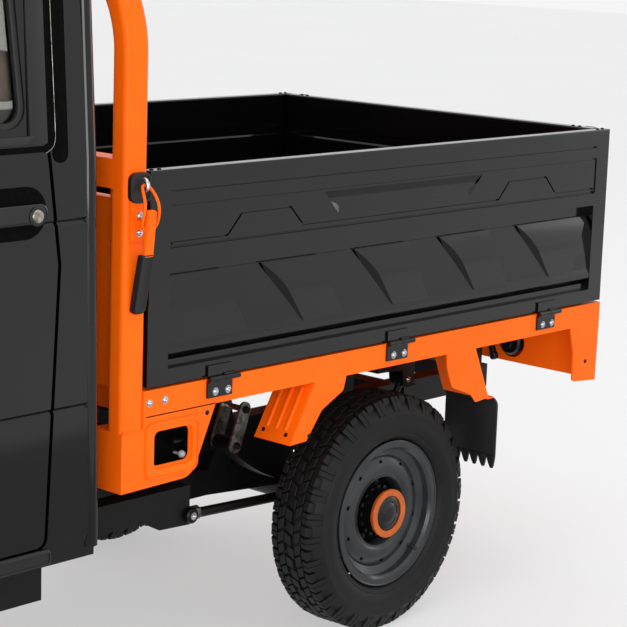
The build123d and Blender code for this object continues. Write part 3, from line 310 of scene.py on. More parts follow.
enamel = gloss_body_enamel()
orange = orange_powder_coat()
bed_black = black_powder_coat()
chassis_black = chassis_paint()
oiled_steel = spring_steel()
link_steel = forged_link_steel()
zinc = bright_zinc()
oxide = black_oxide()
wheel_grey = wheel_enamel()
tyre_black = tyre_rubber()
rubber = moulded_rubber()
nylon = grey_nylon()
plastic = grained_plastic()
abs_black = smooth_plastic()
abs_orange = orange_plastic()
vinyl = seat_vinyl()
glass = toughened_glass()
silver = mirror_silver()
lens = lamp_lens()
reflector = reflector_metal()
tail_red = red_lens()
amber = amber_lens()
# near-black finish of painted shade for pockets, channels, gaps, vents and the hub's recess
shade_black = painted_shade_finish()
screen = dark_screen()

node_finish = {
    enamel: ["cab_rear", "cab_front", "cab_roof", "cab_floor", "door_left", "door_right"],
    orange: ["bed_frame", "hoop", "headboard", "corner_boxes", "hoop_latches", "wheel_guards",
             "tail_panel"],
    bed_black: ["side_panel_left", "side_panel_right", "tailgate", "bed_floor", "bed_hinges",
                "tail_latches"],
    chassis_black: ["chassis_frame", "battery_box", "rear_axle", "rear_shocks", "locating_rods",
                    "front_suspension", "rack_housing", "knuckle_left", "knuckle_right"],
    oiled_steel: ["rear_springs"],
    link_steel: ["spring_shackles"],
    zinc: ["steering_rack"],
    rubber: ["mud_flaps"],
    plastic: ["mirror_left", "mirror_right", "dashboard", "steering_wheel", "front_bumper"],
    vinyl: ["seat_cushions", "seat_backs"],
    glass: ["fixed_windows", "door_glass_left", "door_glass_right"],
    reflector: ["headlamps"],
    tail_red: ["tail_lamps"],
    tyre_black: [name for name in nodes if name.startswith("tyre_")],
    wheel_grey: [name for name in nodes if name.startswith("wheel_") and name != "wheel_guards"],
}
for finish, names in node_finish.items():
    for name in names:
        nodes[name].data.materials.clear()
        nodes[name].data.materials.append(finish)


# ---- workshop helpers: places are in millimetres ----
def corners(node):
    """Lowest and highest corner of a CAD node in millimetres."""
    low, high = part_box(node)
    return low / mm, high / mm


def deselect():
    """Leave edit mode with nothing selected."""
    if bpy.context.mode != "OBJECT":
        bpy.ops.object.mode_set(mode="OBJECT")
    bpy.ops.object.select_all(action="DESELECT")


def alone(piece):
    """Make a piece the only selected one, and active."""
    deselect()
    piece.select_set(True)
    bpy.context.view_layer.objects.active = piece


def settle(piece, name, finish):
    """Put the piece's place into its mesh, and give it its name and finish."""
    alone(piece)
    bpy.ops.object.transform_apply(location=True, rotation=True, scale=True)
    piece.name = name
    piece.data.name = name
    piece.data.materials.clear()
    piece.data.materials.append(finish)
    return piece


def block(name, finish, low, high):
    """Square stock between two corners."""
    deselect()
    low, high = Vector(low) * mm, Vector(high) * mm
    bpy.ops.mesh.primitive_cube_add(size=1, location=(low + high) / 2, scale=high - low)
    return settle(bpy.context.object, name, finish)


def bar(name, finish, start, end, radius, sides=24):
    """Round or many-sided stock between two points."""
    deselect()
    start, end = Vector(start) * mm, Vector(end) * mm
    run = end - start
    bpy.ops.mesh.primitive_cylinder_add(vertices=sides, radius=radius * mm, depth=run.length,
                                        location=(start + end) / 2,
                                        rotation=run.to_track_quat("Z", "Y").to_euler())
    return settle(bpy.context.object, name, finish)


def pick(piece, test, kind="FACE"):
    """Enter edit mode with the faces or corners that pass the test selected."""
    alone(piece)
    bpy.ops.object.mode_set(mode="EDIT")
    bpy.ops.mesh.select_mode(type=kind)
    bpy.ops.mesh.select_all(action="DESELECT")
    bpy.ops.object.mode_set(mode="OBJECT")
    if kind == "FACE":
        for face in piece.data.polygons:
            face.select = test(face.center / mm, face.normal)
    else:
        for corner in piece.data.vertices:
            corner.select = test(corner.co / mm)
    bpy.ops.object.mode_set(mode="EDIT")


def shift(x, y, z):
    """Move the selection by millimetres."""
    bpy.ops.transform.translate(value=Vector((x, y, z)) * mm)


def pull(x, y, z):
    """Extrude the selected faces by millimetres."""
    bpy.ops.mesh.extrude_region_move(TRANSFORM_OT_translate={"value": Vector((x, y, z)) * mm})


def soften(piece, width, segments=2, smooth=35):
    """Round the sharp edges and shade the piece."""
    alone(piece)
    edge = piece.modifiers.new("edge", "BEVEL")
    edge.width = width * mm
    edge.segments = segments
    edge.limit_method = "ANGLE"
    edge.angle_limit = radians(32)
    bpy.ops.object.modifier_apply(modifier="edge")
    bpy.ops.object.shade_smooth_by_angle(angle=radians(smooth))
    return piece


def dish(piece, side, rim, rise):
    """Inset the faces that look towards a side, and raise them; a negative rise sinks them."""
    side = Vector(side)
    pick(piece, lambda at, way: way.dot(side) > 0.9)
    bpy.ops.mesh.inset(thickness=rim * mm)
    shift(*side * rise)


def turned(name, finish, outline, centre, axis, steps=48):
    """Turn an outline of (radius, height) points about an axis through a centre."""
    deselect()
    bpy.ops.mesh.primitive_plane_add(size=mm)
    piece = bpy.context.object
    bpy.ops.object.mode_set(mode="EDIT")
    bpy.ops.mesh.select_mode(type="VERT")
    bpy.ops.mesh.select_all(action="SELECT")
    bpy.ops.mesh.merge(type="CENTER")
    shift(outline[0][0], 0, outline[0][1])
    for (r0, h0), (r1, h1) in zip(outline, outline[1:]):
        pull(r1 - r0, 0, h1 - h0)
    bpy.ops.mesh.select_all(action="SELECT")
    bpy.ops.mesh.spin(steps=steps, angle=2 * pi, center=(0, 0, 0), axis=upward)
    bpy.ops.mesh.select_all(action="SELECT")
    bpy.ops.mesh.remove_doubles(threshold=0.02 * mm)
    bpy.ops.mesh.normals_make_consistent(inside=False)
    bpy.ops.object.mode_set(mode="OBJECT")
    piece.location = Vector(centre) * mm
    piece.rotation_euler = Vector(axis).to_track_quat("Z", "Y").to_euler()
    settle(piece, name, finish)
    bpy.ops.object.shade_smooth_by_angle(angle=radians(35))
    return piece


def copied(piece, name, move=Matrix()):
    """A copy with its own mesh, moved into place; a mirrored one is turned right side out."""
    alone(piece)
    bpy.ops.object.duplicate()
    twin = bpy.context.object
    twin.matrix_world = move
    bpy.ops.object.transform_apply(location=True, rotation=True, scale=True)
    if move.determinant() < 0:
        bpy.ops.object.mode_set(mode="EDIT")
        bpy.ops.mesh.select_all(action="SELECT")
        bpy.ops.mesh.normals_make_consistent(inside=False)
        bpy.ops.object.mode_set(mode="OBJECT")
    twin.name = name
    twin.data.name = name
    return twin


def joined(pieces, name):
    """Join pieces into one."""
    deselect()
    for piece in pieces:
        piece.select_set(True)
    bpy.context.view_layer.objects.active = pieces[0]
    if len(pieces) > 1:
        bpy.ops.object.join()
    pieces[0].name = name
    pieces[0].data.name = name
    return pieces[0]


mirror_y = Matrix.Scale(-1, 4, leftward)


def fit(piece, body):
    """Let a piece ride on a body."""
    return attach(piece, body)


def pair(piece, slot, left_body="truck", right_body="truck"):
    """Let a left-hand piece ride, with its mirrored twin on the right."""
    twin = copied(piece, piece.name + "_right", mirror_y)
    piece.name += "_left"
    fit(piece, left_body)
    fit(twin, right_body)
    return piece, twin


def placed(point, axis=upward, spin=0.0):
    """The move that stands a piece made upright at the origin on a point, along an axis."""
    turn = Vector(axis).to_track_quat("Z", "Y").to_matrix().to_4x4()
    return Matrix.Translation(Vector(point) * mm) @ turn @ Matrix.Rotation(spin, 4, "Z")


def fixings(pattern, name, body, places):
    """Copies of one small fixing at (point, axis) places, joined into one piece on a body."""
    copies = [copied(pattern, name, placed(point, axis, 0.3 * index))
              for index, (point, axis) in enumerate(places)]
    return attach(joined(copies, name), body)


def wire(name, finish, points, radius, closed=False, kind="NURBS"):
    """Round wire or seal that follows points."""
    deselect()
    curve = bpy.data.curves.new(name, "CURVE")
    curve.dimensions = "3D"
    curve.bevel_depth = radius * mm
    curve.bevel_resolution = 3
    curve.resolution_u = 8
    curve.use_fill_caps = True
    line = curve.splines.new(kind)
    line.points.add(len(points) - 1)
    for spot, point in zip(line.points, points):
        spot.co = (*(Vector(point) * mm), 1)
    line.use_cyclic_u = closed
    line.use_endpoint_u = not closed
    line.order_u = 3
    piece = bpy.data.objects.new(name, curve)
    bpy.context.scene.collection.objects.link(piece)
    alone(piece)
    bpy.ops.object.convert(target="MESH")
    settle(bpy.context.object, name, finish)
    bpy.ops.object.shade_smooth()
    return bpy.context.object


def plate(name, finish, low, high, axis, radius, edge=1.0):
    """Flat stock whose corners along one axis are rounded, with its edges eased."""
    piece = block(name, finish, low, high)
    alone(piece)
    bpy.ops.object.mode_set(mode="EDIT")
    bpy.ops.mesh.select_mode(type="EDGE")
    bpy.ops.mesh.select_all(action="DESELECT")
    bpy.ops.object.mode_set(mode="OBJECT")
    for side in piece.data.edges:
        start, end = (piece.data.vertices[index].co for index in side.vertices)
        side.select = abs((end - start).normalized()["xyz".index(axis)]) > 0.9
    bpy.ops.object.mode_set(mode="EDIT")
    bpy.ops.mesh.bevel(offset=radius * mm, segments=5, affect="EDGES")
    bpy.ops.object.mode_set(mode="OBJECT")
    return soften(piece, edge)


def button_bolt(name, finish, size):
    """Button-head socket bolt on a washer, standing on the origin."""
    outline = [(0, 0.25), (0.32, 0.25), (0.34, 0.56), (0.6, 0.54), (0.78, 0.36), (0.82, 0.17),
               (1, 0.17), (1.03, 0), (0, 0), (0, 0.25)]
    return turned(name, finish, [(r * size, h * size) for r, h in outline], (0, 0, 0), upward, 18)


def hex_nut(name, finish, size):
    """Flanged hexagon nut with its stud end, standing on the origin."""
    flange = turned(name, finish, [(0, 0), (1.15 * size, 0), (1.15 * size, 0.15 * size),
                                   (0.9 * size, 0.3 * size), (0, 0.3 * size), (0, 0)], (0, 0, 0),
                    upward, 18)
    nut = soften(bar("nut", finish, (0, 0, 0.25 * size), (0, 0, 1.05 * size), size, 6), 0.1 * size,
                 1)
    stud = soften(bar("stud", finish, (0, 0, size), (0, 0, 1.35 * size), 0.5 * size, 12),
                  0.08 * size, 1)
    return joined([flange, nut, stud], name)


zinc_bolt = button_bolt("zinc_bolt", zinc, 8.3)
small_bolt = button_bolt("small_bolt", oxide, 5.0)
frame_bolt = hex_nut("frame_bolt", zinc, 8.0)
dark_nut = hex_nut("dark_nut", oxide, 9.5)
pin_nut = hex_nut("pin_nut", oxide, 8.0)
patterns = [zinc_bolt, small_bolt, frame_bolt, dark_nut, pin_nut]


# ---- wheels and tyres: made round the origin, axle along Y, outside at +Y ----
wheel_names = ("front_left", "front_right", "rear_left", "rear_right")


def to_wheels(pattern, name):
    """Copies of a left-hand pattern on the four wheels, mirrored on the right."""
    made = []
    for wheel in wheel_names:
        low, high = corners("tyre_" + wheel)
        move = Matrix.Translation((low + high) / 2 * mm)
        piece = copied(pattern, name + "_" + wheel,
                       move @ mirror_y if wheel.endswith("right") else move)
        fit(piece, "wheel_" + wheel)
        made.append(piece)
    bpy.data.objects.remove(pattern)
    return made


def on_axle(name, finish, outline, steps):
    """Turn an outline about the wheel's axle."""
    return turned(name, finish, outline, (0, 0, 0), leftward, steps)


def round_axle(piece, count):
    """Repeat a piece round the wheel's axle, evenly."""
    alone(piece)
    bpy.ops.object.mode_set(mode="EDIT")
    bpy.ops.mesh.select_all(action="SELECT")
    bpy.ops.mesh.spin(steps=count - 1, dupli=True, angle=2 * pi * (count - 1) / count,
                      center=(0, 0, 0), axis=leftward)
    bpy.ops.object.mode_set(mode="OBJECT")


pitches = 30
tread_foot, tread_face = 259, 272.6


def tread_lug(x0, x1, y0, y1, skew, wrap=()):
    """One tread lug: its far side is skewed, and the wraps run it down over the shoulder."""
    lug = block("lug", tyre_black, (x0, y0, tread_foot), (x1, y1, tread_face))
    pick(lug, lambda at, way: way.y > 0.9)
    shift(skew, 0, 0)
    for out, down in wrap:
        pull(0, out, -down)
    return soften(lug, 0.9, 1, 20)


def tyre():
    """Radial tyre: a turned carcass with sidewall rings, and lugs in even pitches."""
    half = [(170.6, 44), (173, 55), (180, 62), (184, 65.5), (187, 65.2), (190, 67.5), (205, 72.2),
            (214, 73), (228, 71.6), (231, 72.4), (234, 72.2), (236, 70.2), (246, 65), (254, 58),
            (261, 49), (264.5, 38), (265.5, 20), (265.8, 0)]
    section = half + [(r, -y) for r, y in reversed(half[:-1])] + [half[0]]
    carcass = on_axle("carcass", tyre_black, section, 96)
    long_wrap = ((9, 13), (8, 15))
    lugs = [tread_lug(-24, 0, -13, 5, 8), tread_lug(6, 28, -5, 13, 8),
            tread_lug(-25, -2, 16, 33, -9), tread_lug(5, 27, 16, 33, -9),
            tread_lug(-23, -11.5, 36.5, 52, 3, long_wrap),
            tread_lug(-10, 1.5, 36.5, 52, 3, long_wrap), tread_lug(8, 28, 36.5, 51, 3, ((5, 8),))]
    half_turn = Matrix.Rotation(pi / pitches, 4, "Y") @ Matrix.Rotation(pi, 4, "Z")
    lugs += [copied(lug, "lug", half_turn) for lug in lugs[2:]]
    pitch = joined(lugs, "pitch")
    round_axle(pitch, pitches)
    return joined([carcass, pitch], "tyre")


for piece, wheel in zip(to_wheels(tyre(), "lugged_tyre"), wheel_names):
    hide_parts("tyre_" + wheel)


def hub_flange():
    """Turned black hub flange with its sleeve and a castellated ring; the flange is in the
    near-black finish of painted shade, which deepens its black with the shade of the hub's recess.
    """
    flange = on_axle("flange", shade_black, [(40, -3.6), (80, -3.6), (80, 4), (76, 8), (62, 10), (56, 16),
                                       (52, 30), (51, 46), (40, 46), (40, -3.6)], 64)
    tooth = soften(block("tooth", chassis_black, (-5, 12, 52), (5, 27, 60)), 1.2, 1)
    round_axle(tooth, 16)
    return joined([flange, tooth], "hub_flange")


def wheel_nuts():
    """Five flanged nuts in a circle."""
    radius, count = 69, 5
    spots = [((radius * sin(turn), 7, radius * cos(turn)), leftward)
             for turn in (2 * pi * n / count for n in range(count))]
    return joined([copied(dark_nut, "wheel_nut", placed(*spot)) for spot in spots], "wheel_nuts")


def hub_ring():
    """Flat moulded orange ring round the hub's end."""
    return on_axle("hub_ring", abs_orange, [(41, 50), (54, 50), (56.5, 57), (56.5, 59.5),
                                            (55.5, 61), (42, 61), (41, 60), (41, 50)], 64)


def wheel_disc():
    """Pressed disc that bulges between the rim's well and the hub's recess."""
    outline = [(135, 12), (134, 25), (131, 29), (124, 33), (112, 36.5), (98, 38), (89, 37),
               (83, 33), (80, 27), (79, 18), (79, 2), (76.5, 2), (76.5, 18), (77.5, 28), (81, 33.5),
               (88, 35), (98, 35.5), (111, 34), (122, 30.5), (129, 26), (131, 12), (135, 12)]
    return on_axle("wheel_disc", wheel_grey, outline, 96)


def disc_vents():
    """Ten small vents round the disc: flat near-black discs of painted shade where the shade in the
    holes falls.
    """
    radius, count, start = 117, 10, 0.07
    vents = [turned("vent", shade_black, [(0, 0), (5.4, 0), (5, 0.9), (0, 0.9)],
                    (radius * sin(turn), 34.6, radius * cos(turn)), leftward, 14)
             for turn in (2 * pi * n / count + start for n in range(count))]
    return joined(vents, "disc_vents")


def hub_cap():
    """Domed dust cap with a shallow step."""
    return on_axle("hub_cap", abs_black, [(0, 48), (41.5, 48), (41.5, 57), (39, 59), (28, 60.5),
                                          (27, 59.5), (25, 59.5), (23, 61), (10, 62), (0, 62.3)],
                   48)


def rim_bead():
    """Rolled edge of the rim's outer lip."""
    roll = 2.3
    ring = [(168 + roll * cos(turn), 57.6 + roll * sin(turn))
            for turn in (2 * pi * n / 10 for n in range(11))]
    return on_axle("rim_bead", wheel_grey, ring, 96)


def valve():
    """Rubber valve stem with its cap, leaning out of the bowl."""
    return turned("valve", rubber, [(0, 0), (6.5, 0), (6.5, 4), (4, 8), (3.6, 24), (4.6, 26),
                                    (4.6, 36), (3.6, 38), (0, 38)], (-99, 22, -99),
                  (-0.25, 1, -0.25), 16)


for pattern, slot in ((hub_flange(), "black_plastic"), (wheel_nuts(), "cast_grey"),
                      (hub_ring(), "orange_paint"), (hub_cap(), "black_plastic"),
                      (wheel_disc(), "wheel_grey"), (disc_vents(), "black_plastic"),
                      (rim_bead(), "wheel_grey"), (valve(), "black_rubber")):
    to_wheels(pattern, pattern.name)


# ---- load bed fittings ----
rail_low, rail_high = corners("bed_frame")
rail_y, rail_top, rail_rear, rail_front = rail_high.y, rail_high.z, rail_low.x, rail_high.x
rail_bottom = rail_low.z
hoop_low, hoop_high = corners("hoop")
hinge_high = corners("bed_hinges")[1]


def hinge_bolts():
    """Two bolts through each fixed hinge leaf, along both sides and across the tail."""
    leaf, z, spacing, bolts = 4.5, rail_top - 27, 555, (21, 57)
    places = []
    for start in (hinge_high.x, hinge_high.x - spacing, hinge_high.x - 2 * spacing):
        for along in bolts:
            for side in (1, -1):
                places.append(((start - along, side * (rail_y + leaf), z), (0, side, 0)))
    for start in (350, -265):
        places += [((rail_rear - leaf, start - along, z), backward) for along in bolts]
    fixings(zinc_bolt, "hinge_bolts", "truck", places)


def rail_bolts():
    """Bolts at the rail's front ends, on the cab side of the first hinge."""
    places = [((x, side * rail_y, rail_top - 25), (0, side, 0))
              for x in (rail_front - 12, rail_front - 54) for side in (1, -1)]
    fixings(zinc_bolt, "rail_bolts", "truck", places)


hinge_bolts()
rail_bolts()


# ---- over-centre latches, made for the left post and carried to the tailgate ----
hook_low, hook_high = corners("hoop_latches")
post_x = hook_low.x + 24
top_z = hook_high.z


def latch_base():
    """Orange base plate with rounded feet and a pivot lug."""
    base = plate("base", orange, (post_x - 22, rail_y - 0.5, top_z - 132),
                 (post_x + 19, rail_y + 5, top_z - 40), "y", 9)
    lug = plate("lug", orange, (post_x - 12, rail_y + 3, top_z - 106),
                (post_x + 6, rail_y + 32, top_z - 88), "x", 6)
    return joined([base, lug], "latch_base")


def latch_lever():
    """Orange lever plate that leans in towards its grip."""
    lever = block("latch_lever", orange, (post_x - 13, rail_y + 24, top_z - 156),
                  (post_x + 8, rail_y + 35, top_z - 69))
    pick(lever, lambda at, way: way.z > 0.9)
    shift(0, 8, 0)
    pull(0, -2, 4)
    bpy.ops.transform.resize(value=(0.7, 0.7, 1))
    dish(lever, leftward, 3, -2)
    return soften(lever, 1.2)


def latch_grip():
    """Black rubber grip that carries the lever in to the post."""
    grip = block("latch_grip", rubber, (post_x - 16, rail_y + 18, top_z - 265),
                 (post_x + 13, rail_y + 36, top_z - 152))
    pick(grip, lambda at, way: way.z < -0.9)
    shift(2, -20, 0)
    pull(0, 0, -5)
    bpy.ops.transform.resize(value=(0.6, 0.55, 1))
    pick(grip, lambda at, way: way.y > 0.8)
    bpy.ops.mesh.inset(thickness=3.5 * mm)
    shift(0, -1.8, 0)
    return soften(grip, 2.4, 3)


def latch_bail():
    """Orange wire bail from the hook down to the lever's pivot."""
    x, y, z = post_x - 5, rail_y, top_z
    points = [(x + 6, y + 30, z - 108), (x + 20, y + 29, z - 99), (x + 20, y + 37, z - 75),
              (x + 17, y + 37, z - 50), (x + 12, y + 22, z - 27), (x + 5, y + 15, z - 20),
              (x - 5, y + 15, z - 20), (x - 12, y + 22, z - 27), (x - 17, y + 37, z - 50),
              (x - 20, y + 37, z - 75), (x - 20, y + 29, z - 99), (x - 6, y + 30, z - 108)]
    return wire("latch_bail", orange, points, 3.1)


def latch_cover():
    """Moulded rubber pad over the hook's plate, dished in the middle."""
    pad = plate("latch_cover", rubber, (post_x - 28, rail_y - 0.5, top_z - 55),
                (post_x + 24, rail_y + 11, top_z + 3), "y", 15, 0.8)
    dish(pad, leftward, 6, -2.5)
    return soften(pad, 1.0)


def latch_hook():
    """Bright steel hook that holds the bail."""
    x, y, z = post_x - 5, rail_y, top_z
    points = [(x, y + 6, z - 8), (x, y + 18, z - 8), (x, y + 25, z - 18), (x, y + 24, z - 29),
              (x, y + 16, z - 31)]
    return wire("latch_hook", zinc, points, 4.2)


tail_inset = 64
tail_turn = (Matrix.Translation(Vector((rail_rear + rail_y, rail_y - tail_inset - post_x, 0)) * mm)
             @ Matrix.Rotation(pi / 2, 4, "Z"))
latch_places = (("truck", "left", Matrix()), ("truck", "right", mirror_y),
                ("tailgate", "tail_left", tail_turn),
                ("tailgate", "tail_right", mirror_y @ tail_turn))
latch_parts = ((latch_base(), "orange_paint"), (latch_lever(), "orange_paint"),
               (latch_grip(), "black_rubber"), (latch_bail(), "orange_paint"),
               (latch_cover(), "black_rubber"), (latch_hook(), "cast_grey"))
for part, slot in latch_parts:
    name = part.name
    for body, spot, move in latch_places:
        piece = fit(copied(part, name + "_" + spot, move), body)
        if name == "latch_base":
            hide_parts("hoop_latches" if body == "truck" else "tail_latches")
    bpy.data.objects.remove(part)
latch_bolts = [((post_x - 3, rail_y + 5, z), leftward) for z in (top_z - 80, top_z - 112)]
post_bolts = joined([copied(zinc_bolt, "latch_bolts", placed(*spot)) for spot in latch_bolts],
                    "latch_bolts")
for body, spot, move in latch_places:
    fit(copied(post_bolts, "latch_bolts_" + spot, move), body)
patterns.append(post_bolts)


# ---- corner boxes, guards, flaps and tail ----
box_low, box_high = corners("corner_boxes")
guard_low, guard_high = corners("wheel_guards")
flap_low, flap_high = corners("mud_flaps")
tail_low, tail_high = corners("tail_panel")
lamp_low, lamp_high = corners("tail_lamps")
box_x, box_z = (box_low.x + box_high.x) / 2, (box_low.z + box_high.z) / 2
lamp_inner = 255
lamp_y, lamp_z = (lamp_high.y + lamp_inner) / 2, (lamp_low.z + lamp_high.z) / 2


def box_frame():
    """Broad pressed frame round the corner box's window."""
    x, z = box_x - 4.5, box_z
    frame_plate = plate("box_frame", orange, (x - 73, rail_y - 0.5, z - 57),
                        (x + 70, rail_y + 3.5, z + 59), "y", 20, 0.8)
    dish(frame_plate, leftward, 6, 1.5)
    alone(frame_plate)
    hole = plate("hole", orange, (x - 56, rail_y - 9, z - 36), (x + 50, rail_y + 20, z + 41), "y",
                 13, 0.3)
    alone(frame_plate)
    cut = frame_plate.modifiers.new("cut", "BOOLEAN")
    cut.object = hole
    bpy.ops.object.modifier_apply(modifier="cut")
    bpy.data.objects.remove(hole)
    return soften(frame_plate, 1.2)


def box_inside_shade():
    """Near-black lining that closes the box behind its window: painted shade for the box's dark
    inside.
    """
    x, z = box_x, box_z
    lining = block("box_inside_shade", shade_black, (x - 66, rail_y - 44, z - 50), (x + 62, rail_y - 3, z + 60))
    pick(lining, lambda at, way: way.y > 0.9)
    bpy.ops.mesh.inset(thickness=3 * mm)
    pull(0, -36, 0)
    return soften(lining, 2)


def ball_knob():
    """Grey ball knob on a short stalk inside the window."""
    x, z = box_x, box_z
    return turned("ball_knob", nylon, [(0, 0), (3, 0), (3, 14), (5.5, 15.5), (7.4, 19), (8, 22.5),
                                       (7, 26.5), (4.2, 29.3), (0, 30.2)],
                  (x - 48, rail_y - 36, z - 24), (0, 1, 0.05), 20)


def knob_bracket():
    """Bent bracket below the knob."""
    x, z = box_x, box_z
    bracket = block("knob_bracket", chassis_black, (x - 58, rail_y - 38, z + 2),
                    (x - 26, rail_y - 14, z + 7))
    pick(bracket, lambda at, way: way.z > 0.9)
    bpy.ops.mesh.inset(thickness=4 * mm)
    shift(0, -6, 6)
    return soften(bracket, 1.2)


def bead(name, finish, start, end, radius):
    """Pressed bead: a round bar with round ends, sunk in a sheet."""
    return soften(bar(name, finish, start, end, radius, 16), radius * 0.6, 3)


def guard_ribs():
    """Three pressed beads down the sloping guard ahead of the rear wheel."""
    top = Vector((guard_high.x - 68, 0, guard_high.z - 14))
    foot = Vector((guard_high.x - 17, 0, guard_low.z + 26))
    beads = [bead("bead", orange, top + Vector((0, y, 0)), foot + Vector((0, y, 0)), 6)
             for y in (rail_y - 82, rail_y - 55, rail_y - 28)]
    return joined(beads, "guard_ribs")


def guard_border():
    """Raised border down the guard's side plate."""
    x, z = guard_high.x, guard_high.z
    points = [(x - 156, z - 8), (x - 148, z - 26), (x - 118, z - 42), (x - 84, z - 62),
              (x - 58, z - 92), (x - 40, z - 116)]
    return wire("guard_border", orange, [(px, rail_y - 1.2, pz) for px, pz in points], 3)


def box_seam():
    """Seam between the rail and the corner box: a thin near-black strip of painted shade where the
    groove's shade falls.
    """
    return plate("box_seam", shade_black, (box_low.x + 1, rail_y - 0.4, rail_bottom - 1),
                 (hoop_low.x - 4, rail_y + 0.4, rail_bottom + 1.2), "y", 0.6, 0.1)


def post_filler():
    """Sealed joint where the post stands beside the rail."""
    return plate("post_filler", orange, (hoop_low.x - 6, rail_y - 8, rail_bottom - 24),
                 (hoop_low.x + 3, rail_y + 0.3, rail_top - 1), "y", 2, 0.2)


def mud_flap():
    """Rubber mud flap with a toothed lower edge and a rounded outer shoulder."""
    x0, x1, y0, y1, z = flap_low.x, flap_high.x, 408, 563, 362
    sheet = block("mud_flap", rubber, (x0, y0, z), (x1, y1, flap_high.z - 36))
    pick(sheet, lambda at: at.y > y1 - 1 and at.z > z + 20, "VERT")
    bpy.ops.mesh.select_mode(type="EDGE")
    bpy.ops.mesh.bevel(offset=20 * mm, segments=5, affect="EDGES")
    parts = [soften(sheet, 1)]
    pitch = (y1 - y0) / 6
    for step in range(6):
        tooth = block("tooth", rubber, (x0, y0 + pitch * step, z - 1),
                      (x1, y0 + pitch * (step + 1), z + 3))
        pick(tooth, lambda at, way: way.z < -0.9)
        pull(0, 3, -20)
        bpy.ops.transform.resize(value=(1, 0.55, 1))
        pull(0, 1.5, -9)
        bpy.ops.transform.resize(value=(1, 0.4, 1))
        parts.append(soften(tooth, 0.8))
    return joined(parts, "mud_flap")


def tail_pipe():
    """Black drain pipe with a rubber end, ahead of the tail panel."""
    outer = [(0, 0), (9, 0), (9, 34), (11.5, 37), (11.5, 48), (9, 52.5), (4, 54), (0, 54)]
    return turned("tail_pipe", chassis_black, outer, (tail_low.x + 22, 232, tail_low.z + 54),
                  (0.05, 0.35, -0.9), 24)


def lamp_ring():
    """Bezel round a tail lamp with a raised inner lip."""
    outline = [(38, 0), (46, 0), (47, 2), (45.5, 6), (42, 8), (40, 6), (38, 5), (38, 0)]
    return turned("tail_lamp_ring", abs_black, outline, (lamp_low.x + 3, lamp_y, lamp_z), backward,
                  48)


def lamp_dome():
    """Red lens dome with a stepped centre."""
    outline = [(0, 0), (40, 0), (40, 4), (37, 7.5), (24, 9), (22.5, 8), (21, 9.3), (10, 10.6),
               (0, 11), (0, 0)]
    return turned("tail_lens", tail_red, outline, (lamp_low.x + 3, lamp_y, lamp_z), backward, 48)


def lamp_back():
    """Black housing of a tail lamp on the panel's inner side."""
    outline = [(0, 0), (33, 0), (33, 16), (28, 22), (14, 24), (12, 30), (0, 30), (0, 0)]
    return turned("tail_lamp_back", abs_black, outline, (lamp_low.x + 2, lamp_y, lamp_z), forward,
                  32)


def number_plate():
    """Bare plate holder with rolled edges and its lamp."""
    x, z = tail_low.x, (tail_low.z + tail_high.z) / 2 - 6
    holder = plate("plate_holder", abs_black, (x + 8, -110, z - 56), (x + 16, 110, z + 50), "x", 10,
                   1)
    dish(holder, backward, 5, -2.5)
    lamp = plate("lamp", lens, (x + 2, -28, z + 34), (x + 14, 28, z + 46), "x", 5, 1.5)
    return holder, soften(lamp, 0.8)


def tail_bolts():
    """Bolts on the tail panel's end flanges, guards and corner boxes."""
    places = []
    for side in (1, -1):
        y = side * rail_y
        places += [((tail_low.x + 50, y, tail_high.z - 92), (0, side, 0)),
                   ((guard_high.x - 60, y, guard_low.z + 14), (0, side, 0)),
                   ((box_low.x + 24, y, box_high.z - 16), (0, side, 0))]
    return fixings(small_bolt, "tail_bolts", "truck", places)


def guard_bolts():
    """Two dark bolts near the foot of each sloping guard."""
    places = [((guard_high.x - 11, side * (rail_y - inward), guard_low.z + 20), (0.87, 0, 0.5))
              for side in (1, -1) for inward in (22, 88)]
    return fixings(small_bolt, "guard_bolts", "truck", places)


for build, slot in ((box_frame, "orange_paint"), (box_inside_shade, "black_plastic"),
                    (ball_knob, "cast_grey"), (knob_bracket, "black_paint"),
                    (guard_ribs, "orange_paint"), (guard_border, "orange_paint"),
                    (box_seam, "black_plastic"), (post_filler, "orange_paint"),
                    (mud_flap, "black_rubber"), (lamp_ring, "black_plastic"),
                    (lamp_dome, "lamp_red"), (lamp_back, "black_plastic")):
    pair(build(), slot)
for spot in ("_left", "_right"):
    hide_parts("mud_flaps")
    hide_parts("tail_lamps")
fit(tail_pipe(), "truck")
holder, plate_lamp = number_plate()
fit(holder, "truck")
plate_lamp.name = "plate_lamp"
fit(plate_lamp, "truck")
tail_bolts()
guard_bolts()


# ---- inside the bed ----
floor_low, floor_high = corners("bed_floor")
board_low, board_high = corners("headboard")
panel_low, panel_high = corners("side_panel_left")
gate_low, gate_high = corners("tailgate")


def bed_mat():
    """Ribbed rubber mat on the bed floor: one rib repeated across a thin sheet."""
    x0, x1, y, z = floor_low.x + 16, floor_high.x - 14, floor_high.y - 16, floor_high.z
    sheet = soften(block("bed_mat", rubber, (x0, -y, z - 0.5), (x1, y, z + 3)), 1)
    rib = block("rib", rubber, (x0 + 12, -y + 14, z + 2), (x1 - 12, -y + 28, z + 6))
    pick(rib, lambda at, way: way.z > 0.9)
    bpy.ops.transform.resize(value=(0.995, 0.6, 1))
    alone(rib)
    row = rib.modifiers.new("row", "ARRAY")
    row.count = 24
    row.use_relative_offset = False
    row.use_constant_offset = True
    row.constant_offset_displace = (0, (2 * y - 42) / 23 * mm, 0)
    bpy.ops.object.modifier_apply(modifier="row")
    return joined([sheet, rib], "bed_mat")


def board_ribs():
    """Three pressed beads across the headboard."""
    height = board_high.z - board_low.z
    beads = [bead("bead", orange, (board_low.x + 1, -board_high.y + 70, z),
                  (board_low.x + 1, board_high.y - 70, z), 7)
             for z in (board_low.z + height * part for part in (0.25, 0.5, 0.75))]
    return joined(beads, "board_ribs")


